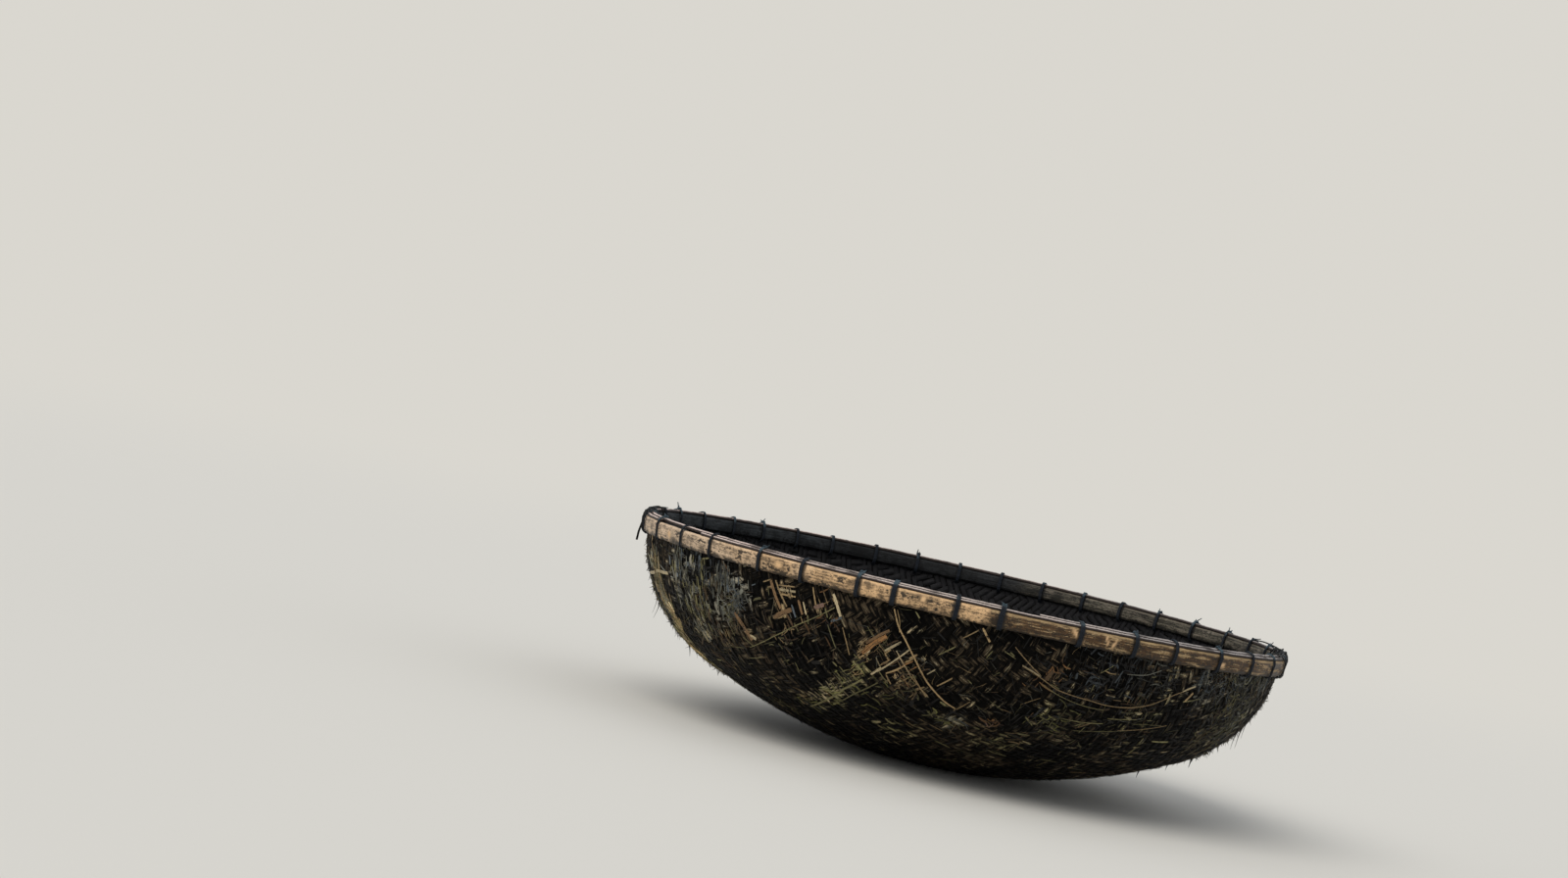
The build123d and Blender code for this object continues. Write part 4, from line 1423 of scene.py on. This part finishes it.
# %% Cap strips
cap_width, cap_gap, cap_inset, cap_step = 0.012, 0.001, 0.001, 0.008
cap_edge = seat + lath_edge - cap_inset
caps = (   # name, middle, foot and height in metres, azimuths of the joints, seed of the wavering
    ("outer_cap_strip", cap_edge - cap_width / 2, seat, 0.0088, (-158.0, 30.1), 31),
    ("inner_cap_strip", cap_edge - cap_gap - cap_width * 1.5, 0.002 + seat, 0.0102, (100.1, -82.9), 47),
)


def wavering(middle, foot, seed):
    """What makes a cap strip waver in width, height and place."""
    def change(azimuth, x, y):
        arc = azimuth * rim_radius
        narrow = 1 - 0.06 * (1 + waves(arc, seed, 0.15))
        tall = 1 - 0.05 * (1 + waves(arc, seed + 1, 0.09))
        x = middle + (x - middle) * narrow + 0.0003 * waves(arc, seed + 2, 0.3)
        return x, foot + (y - foot) * tall
    return change


for name, middle, foot, height, joints, seed in caps:
    half = cap_width / 2
    bow = [(middle + half * 0.97 * cos(t), foot + height * (0.3 + 0.7 * sin(t) ** 0.8))
           for t in np.linspace(0.05, pi - 0.05, 8)]
    outline = [(middle + half * 0.9, foot), *bow, (middle - half * 0.9, foot)]
    for number, (start, end) in enumerate((joints, joints[::-1]), start=1):
        end = round_from(start, end)
        span = (start + gap_angle, end - gap_angle)
        piece = ring_length(f"{name}_bamboo_{number}", outline, *span, cap_step)
        reshape(piece, start, wavering(middle, foot, seed), height)
        piece.data.materials.append(silver_cap)
        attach(piece, "root")
        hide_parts(f"{name}_{number}")
        print(piece.name, len(piece.data.polygons), "faces")

# %% [markdown]
# Each lashing is one cord that goes round the rim a few times, through the wall under the laths, and is
# pulled tight. A cord pulled tight round a bundle takes the shape of a rubber band round it: straight
# between the corners and bent over them. So the path is the convex hull of the four sections, moved out by
# the cord's radius, and the turns step along the rim like a spring.

# %% The taut path round the rim
cord_across, cord_clear = 0.0045, 0.0003
rim_corners = (   # x, y in metres of what the cord bends over, from the outer lath's foot over the top
    (seat, -0.050), (0.0093, -0.050), (0.0140, -0.042), (0.0140, -0.008), (0.0083, 0.0043), (0.0048, 0.0093),
    (-0.0082, 0.0125), (-0.0132, 0.0125), (-0.0167, 0.0063), (-0.0187, -0.006), (-0.0187, -0.031),
    (-0.0148, -0.040),
)


def taut_outline(corners, radius, step=0.0022):
    """The line a cord's middle takes round the corners, which go anticlockwise, back to the first one."""
    corners = np.array(corners)
    following = np.roll(corners, -1, axis=0) - corners
    out = np.stack([following[:, 1], -following[:, 0]], -1) / np.linalg.norm(following, axis=1)[:, None]
    line = []
    for n, corner in enumerate(corners):
        before, after = out[n - 1], out[n]
        for share in (0.0, 0.5, 1.0):
            bend = before * (1 - share) + after * share
            line.append(corner + radius * bend / np.linalg.norm(bend))
    line = np.array(line + [line[0]])
    run = lengths(line)
    even = np.linspace(0, run[-1], int(run[-1] / step))
    return np.stack([np.interp(even, run, line[:, k]) for k in (0, 1)], -1)


cord_line = taut_outline(rim_corners, cord_clear + cord_across / 2)
print(f"one turn of cord is {1000 * lengths(cord_line)[-1]:.0f} mm long")


# %% Turns of cord round the rim
def rim_turns(azimuth, width, turns, slant=0.0, loose=0.0, start=0.0):
    """A cord's line and its azimuth in radians: turns round the rim over a width in metres, leaning to and
    fro by slant metres. loose is how far it stands off, and start where on the way round it begins."""
    n = len(cord_line) - 1
    count = int(turns * n) + 1
    place = (np.arange(count) / n + start) % 1 * n
    x = np.interp(place, np.arange(n + 1), cord_line[:, 0])
    y = np.interp(place, np.arange(n + 1), cord_line[:, 1])
    share = np.linspace(-0.5, 0.5, count)
    lean_over = slant * np.sin(2 * pi * (np.arange(count) / n + start))
    along = share * width + lean_over
    swell = 1 + loose * (1 + np.sin(np.arange(count) * 0.19 + azimuth)) / 2
    x, y = x * swell, y * swell + (swell - 1) * 0.02
    return gunwale_place(x, y, radians(azimuth) + along / rim_radius), radians(azimuth)


def add_cord(bundle, line, radius, side, sides=8):
    """Adds a cord to a bundle along a line of points."""
    rows = tube(line, radius, side, sides)
    along = lengths(line) + random.uniform(0, 1)
    bundle.add(rows, along, np.linspace(0, 1, sides + 1))


def along_rim(azimuth):
    """Direction of the rim at an azimuth in radians."""
    return (-sin(azimuth), cos(azimuth), 0.0)


print("two turns have", len(rim_turns(0.0, 0.010, 2)[0]), "points")


# %% Finish of the cords
def cord_finish(name, deep, faded_and_highlight, brown):
    """Twisted cord with tar in it, faded on top and lighter there as a painted highlight of the sky. The
    twist is a slanting wave.
    """
    cord = Finish(name, specular_ior_level=0.25)
    along, place = cord.along(), cord.place()
    run, across, _ = cord.parts(along)
    twist = cord.apply("SINE", run * 1400 + across * 4 * pi)
    fuzz = cord.noise(place, 300.0, 3)
    patch = cord.noise(place, 14.0, 3)
    height = cord.parts(place)[2]
    # the top of the cord is lighter in patches: fading and a painted highlight of the sky
    up = cord.between(height + (patch - 0.5) * 0.008, rim_height, rim_height + 0.011)
    colour = cord.mix(cord.between(fuzz + twist * 0.2, 0.3, 0.9), shaded(deep, 0.8), shaded(deep, 2.0))
    colour = cord.mix(up * cord.between(patch, 0.3, 0.6) * 0.85, colour, faded_and_highlight)
    colour = cord.mix(cord.between(patch, 0.7, 0.9) * 0.6, colour, brown)
    cord.surface(base_color=colour, roughness=0.7, normal=cord.bump(twist * 0.5 + fuzz * 0.3, 0.0006))
    return cord.material


tar_brown = (0.03, 0.022, 0.014)
rim_cord = cord_finish("rim_cord", (0.0055, 0.0080, 0.0125), (0.060, 0.092, 0.112), tar_brown)
old_cord = cord_finish("old_cord", (0.0045, 0.0045, 0.0045), (0.035, 0.037, 0.036), tar_brown)
print(len(rim_cord.node_tree.nodes), "nodes in the finish of the cords")

# %% [markdown]
# A knot sits on top of some lashings, with two tails of cord. Its line is a trefoil, the simplest closed
# curve that is knotted. Cord thick enough for its small loops to touch reads as a tight knot.

# %% Knots and tails
tails = {   # azimuth of the lashing: (length up in metres, lean along the rim, lean inwards)
    161.1: (0.020, 0.008, 0.004), 134.0: (0.012, -0.010, 0.006), 100.1: (0.014, 0.006, -0.004),
    49.7: (0.010, 0.010, 0.004), 40.2: (0.016, -0.012, 0.002), 30.1: (0.013, 0.014, 0.004),
    20.5: (0.008, -0.035, 0.004), 11.6: (0.012, -0.016, 0.0), -40.0: (0.006, 0.012, -0.006),
    -82.9: (0.007, -0.010, -0.004), -59.3: (0.006, 0.010, -0.004), -126.2: (0.006, 0.014, -0.004),
    -107.1: (0.006, 0.012, -0.002), -158.0: (0.008, -0.012, 0.0),
}
knot_turn = np.linspace(0, 2 * pi, 44)
knot_line = 0.0022 * np.stack([
    np.sin(knot_turn) + 2 * np.sin(2 * knot_turn),
    np.cos(knot_turn) - 2 * np.cos(2 * knot_turn),
    -1.2 * np.sin(3 * knot_turn),
], -1)
knot_x, knot_y = -0.010, 0.0158      # place of the knots in the gunwale's section, in metres


def add_knot(bundle, turn, radius, up, along, inward):
    """A knot on top of the rim at an azimuth in radians, with one long and one short tail."""
    knot = Matrix.Rotation(turn, 3, "Z") @ Matrix.Rotation(random.uniform(0, 3), 3, "Z")
    knot_points = knot_line @ np.array(knot.transposed()) + gunwale_place(knot_x, knot_y, turn)
    add_cord(bundle, knot_points, radius * 0.85, (0.05, 0.03, 1.0), 7)
    share = np.linspace(0, 1, 9)
    for way, tall in ((1, 1.0), (-0.6, 0.5)):
        reach = along * way * share + 0.002 * np.sin(share * 5) * way
        rise = knot_y + up * share * tall
        tail_line = gunwale_place(knot_x + inward * share, rise, turn + reach / rim_radius)
        add_cord(bundle, tail_line, radius * 0.8 * (1 - 0.25 * share), (cos(turn), sin(turn), 0.1), 7)


print(len(tails), "knots")

# %% Lashings
cord_spacing = 0.0046                # metres of the rim for each turn
for sector, rows in lashings.items():
    bundle = Bundle()
    for azimuth, width in rows:
        width = width / 1000
        turns = max(2, round(width / cord_spacing))
        radius = min(width / turns * 0.52, cord_across / 2 + 0.0001)
        slant = random.normal(0, 0.0022)
        start = random.uniform(-0.04, 0.04)
        line, turn = rim_turns(azimuth, width - 2 * radius, turns, slant, start=start)
        add_cord(bundle, line, radius, along_rim(turn))
        if azimuth in tails:
            add_knot(bundle, turn, radius, *tails[azimuth])
    piece = bundle.finish(f"cord_{sector}", rim_cord)
    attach(piece, "root")
    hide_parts(f"lashings_{sector}")

# %% [markdown]
# At both ends of the rim, where a mooring line is tied, more cord crosses over the lashings. Some turns go
# slanting round the rim, and some loose ends lie over it and hang down. A route by chance would cut through
# the wood, so the points of the loose ends are given in a list.

# %% Crossed cords at both ends of the rim
bundle = Bundle()
crossed = (   # azimuth, how far one turn leans in metres, turns, radius, looseness
    (-176.0, 0.060, 1.0, 0.0024, 0.05),
    (179.0, -0.050, 1.0, 0.0022, 0.09),
    (-174.0, 0.035, 1.6, 0.0020, 0.06),
    (176.0, 0.070, 1.0, 0.0019, 0.12),
    (172.0, 0.030, 1.5, 0.0021, 0.05),
    (-171.5, -0.045, 1.0, 0.0019, 0.10),
    (-14.5, 0.075, 1.0, 0.0025, 0.05),
    (-6.0, -0.060, 1.0, 0.0025, 0.08),
    (-3.5, 0.055, 1.5, 0.0024, 0.06),
    (4.0, -0.050, 1.0, 0.0024, 0.10),
    (6.5, 0.030, 1.5, 0.0022, 0.05),
    (-0.5, 0.010, 2.0, 0.0024, 0.04),
)
crossed_width = 0.004                # metres along the rim
for azimuth, slant, turns, radius, loose in crossed:
    start = random.uniform(-0.05, 0.05)
    line, turn = rim_turns(azimuth, crossed_width, turns, slant, loose, start)
    add_cord(bundle, line, radius, along_rim(turn), 7)
print(len(crossed), "slanting turns")


# %% Loose ends of cord
def rim_line(rows):
    """Smooth line through rows of azimuth in degrees, x and y in millimetres on the gunwale."""
    rows = np.array(rows, float)
    knots = np.arange(len(rows))
    fine = np.linspace(0, len(rows) - 1, 12 * len(rows))
    smooth = np.stack([np.interp(fine, knots, rows[:, k]) for k in range(3)], -1)
    for _ in range(14):
        smooth[1:-1] = (smooth[:-2] + 2 * smooth[1:-1] + smooth[2:]) / 4
    return gunwale_place(smooth[:, 1] / 1000, smooth[:, 2] / 1000, np.radians(smooth[:, 0]))


loose_cords = (   # radius in metres, then azimuth in degrees and x and y in millimetres of its points
    (0.0034, ((-184, 17, 0), (-182.5, 20, -6), (-181, 20, -20), (-180.6, 24, -36), (-181.2, 32, -58),
              (-182.0, 38, -86))),
    (0.0018, ((-183, 14, 8), (-181.5, 22, -2), (-182.5, 24, -14), (-180.5, 21, -20), (-179.5, 19, -10),
              (-178, 12, 9))),
    (0.0016, ((-171, 2, 15), (-175, 4, 16), (-180, -4, 18), (-185, -8, 17), (-189, -12, 16),
              (-193, -10, 15))),
    (0.0016, ((-168, -6, 16), (-173, -2, 18), (-179, 3, 17), (-184, 4, 16), (-188, 2, 15))),
    (0.0022, ((-170, 15, 2), (-173, 8, 14), (-176, -6, 20), (-178, -16, 16), (-180, -20, 2))),
    (0.0022, ((20, -12, 15), (16, -8, 19), (12, -2, 18), (8, 2, 16))),
    (0.0025, ((-16, 6, 12), (-11, 0, 18), (-5, -8, 21), (1, -14, 19), (5, -18, 10))),
    (0.0025, ((-12, -12, 16), (-7, -4, 22), (-1, 4, 19), (3, 14, 6), (4, 19, -8), (2, 19, -28),
              (0, 17, -44))),
    (0.0024, ((-4, -16, 14), (0, -8, 23), (4, 2, 21), (8, 8, 14), (10, 15, 2))),
)
slanting = (0.12, 0.31, 0.94)        # a direction that none of them takes
for radius, rows in loose_cords:
    line = rim_line(rows)
    add_cord(bundle, line, radius, slanting, 7)
piece = bundle.finish("cord_at_both_ends", old_cord)
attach(piece, "root")

# %% [markdown]
# Battens stiffen the bottom. They are split bamboo like the laths, so they get the same wood, darker, and a
# crown. They follow the bowl in planes through the middle of the sphere that its bottom is part of, as the
# solids do, and lie flat where the foot is flat. Spin makes only an even arc, so they are made in numbers.

# %% Sizes and wood of the battens
batten_width, batten_thickness, batten_length = 0.028, 0.009, 1.382
batten_spacing, battens_each_way = 0.320, 3
sphere_middle = np.array((0, 0, bottom_centre))
tilts = [batten_spacing / bottom_radius * (n - (battens_each_way - 1) / 2) for n in range(battens_each_way)]
long_depth = wall_thickness + seat
cross_depth = long_depth + batten_thickness + seat
tie_depth = cross_depth + batten_thickness + seat
batten_colours = ((0.10, 0.065, 0.038), (0.085, 0.055, 0.032), (0.07, 0.045, 0.028), (0.015, 0.012, 0.01))
batten_wood = lath_finish("batten_wood", batten_colours, 0.8)
print(len(tilts), "battens each way")

# %% Battens
batten_nodes = np.arange(-0.62, 0.7, 0.31)   # metres from the middle of a batten
batten_section = np.array((   # share of the half width, share of the thickness
    (-0.98, 0.02), (-1.0, 0.30), (-0.86, 0.70), (-0.45, 0.94), (0.0, 1.0),
    (0.45, 0.94), (0.86, 0.70), (1.0, 0.30), (0.98, 0.02), (0.0, 0.0),
))


def bowl_reach(depth, tilt, swing):
    """Distance from the sphere's middle to depth metres inside the hull, in a tilted plane."""
    return np.minimum(bottom_radius - depth, (bottom_centre - depth) / (cos(tilt) * np.cos(swing)))


def batten_rows(depth, tilt, heading, arc, seed, node_shift):
    """Rows of section points of a batten whose underside is depth metres inside the hull. arc is the
    distance along it from its middle, and its width and height waver, with a ridge at each node."""
    ahead = np.array((cos(heading), sin(heading), 0))
    side = np.array((cos(tilt) * sin(heading), -cos(tilt) * cos(heading), -sin(tilt)))
    down = -np.cross(side, ahead)
    swing = arc / bottom_radius
    low = bowl_reach(depth, tilt, swing)
    high = bowl_reach(depth + batten_thickness, tilt, swing)
    tall = 0.93 - 0.05 * (1 + waves(arc, seed, 0.3))
    for node in batten_nodes + node_shift:
        tall = tall + 0.07 * np.exp(-(((arc - node) / 0.005) ** 2))
    wide = batten_width / 2 * (0.97 - 0.03 * (1 + waves(arc, seed + 1, 0.2)))
    direction = np.sin(swing)[:, None] * ahead + np.cos(swing)[:, None] * down
    share = batten_section[:, 1][None] * tall[:, None]
    reach = low[:, None] + (high - low)[:, None] * share
    across = batten_section[:, 0][None] * wide[:, None]
    return sphere_middle + reach[..., None] * direction[:, None] + across[..., None] * side


batten_map = np.append(np.abs(batten_section[:, 1]) * 0.6 + 0.3, 0.3)
batten_steps, batten_share = 240, 0.998   # points along it, and its share of the solid's length
batten_sets = (   # name, depth inside the hull, heading, seed
    ("long", long_depth, 0.0, 20),
    ("cross", cross_depth, pi / 2, 60),
)
for set_name, depth, heading, set_seed in batten_sets:
    for number, tilt in enumerate(tilts, start=1):
        swing_end = asin(batten_length / 2 / (bottom_radius - depth - batten_thickness)) * batten_share
        arc = np.linspace(-swing_end, swing_end, batten_steps) * bottom_radius
        seed = number * 7 + set_seed
        rows = batten_rows(depth, tilt, heading, arc, seed, node_shift=0.03 * number)
        bundle = Bundle()
        bundle.add(rows, arc + seed, batten_map)
        piece = bundle.finish(f"{set_name}_batten_bamboo_{number}", batten_wood)
        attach(piece, "root")
        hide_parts(f"{set_name}_batten_{number}")

# %% [markdown]
# Where two battens cross, a cord is tied over both in an X. Each leg is drawn as a bent line in the plane
# that stands on the hull there, from under one side of the crossing, over its top and down again.

# %% Path of a tie
tie_radius, tie_gap = 0.0015, 0.0008
tie_over_tie = 0.0028                # metres that the second leg of the X lies higher than the first
leg = batten_width / sqrt(2) + 0.003 + tie_gap


def tie_path(top, foot):
    """Points of one leg, as distance from the crossing and from the sphere's middle, in metres."""
    half = [(-leg - tie_radius, foot), (-leg, top + 0.012), (-leg + 0.004, top + 0.002), (0, top)]
    corners = np.array(half + [(-a, b) for a, b in half[-2::-1]])
    fine = np.linspace(0, len(corners) - 1, 40)
    bent = np.stack([np.interp(fine, np.arange(len(corners)), corners[:, k]) for k in (0, 1)], -1)
    for _ in range(3):
        bent[1:-1] = (bent[:-2] + 2 * bent[1:-1] + bent[2:]) / 4
    return bent


print(f"a tie reaches {1000 * leg:.0f} mm to each side")

# %% Ties over the crossings
bundle = Bundle()
for long_tilt in tilts:
    for cross_tilt in tilts:
        upward = np.array((sin(cross_tilt) / cos(cross_tilt), -sin(long_tilt) / cos(long_tilt), 1))
        upward = upward / np.linalg.norm(upward)
        slope = atan2(hypot(upward[0], upward[1]), upward[2])
        top = float(bowl_reach(tie_depth, slope, 0.0)) - tie_radius
        foot = float(bowl_reach(wall_thickness + 0.002, slope, 0.0))
        bent = tie_path(top, foot)
        for corner, lift in (((1, 1, 0), 0.0), ((1, -1, 0), tie_over_tie)):
            across = np.array(corner, float)
            across = across - upward * upward.dot(across)
            across = across / np.linalg.norm(across)
            beside = np.cross(across, upward)
            for turn in (-1, 1):
                line = sphere_middle + bent[:, :1] * across - (bent[:, 1:] - lift) * upward
                line = line + beside * turn * tie_radius * 1.05
                add_cord(bundle, line, tie_radius, tuple(beside), 7)
piece = bundle.finish("batten_tie_cords", old_cord)
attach(piece, "root")
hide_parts("batten_ties")

# %% [markdown]
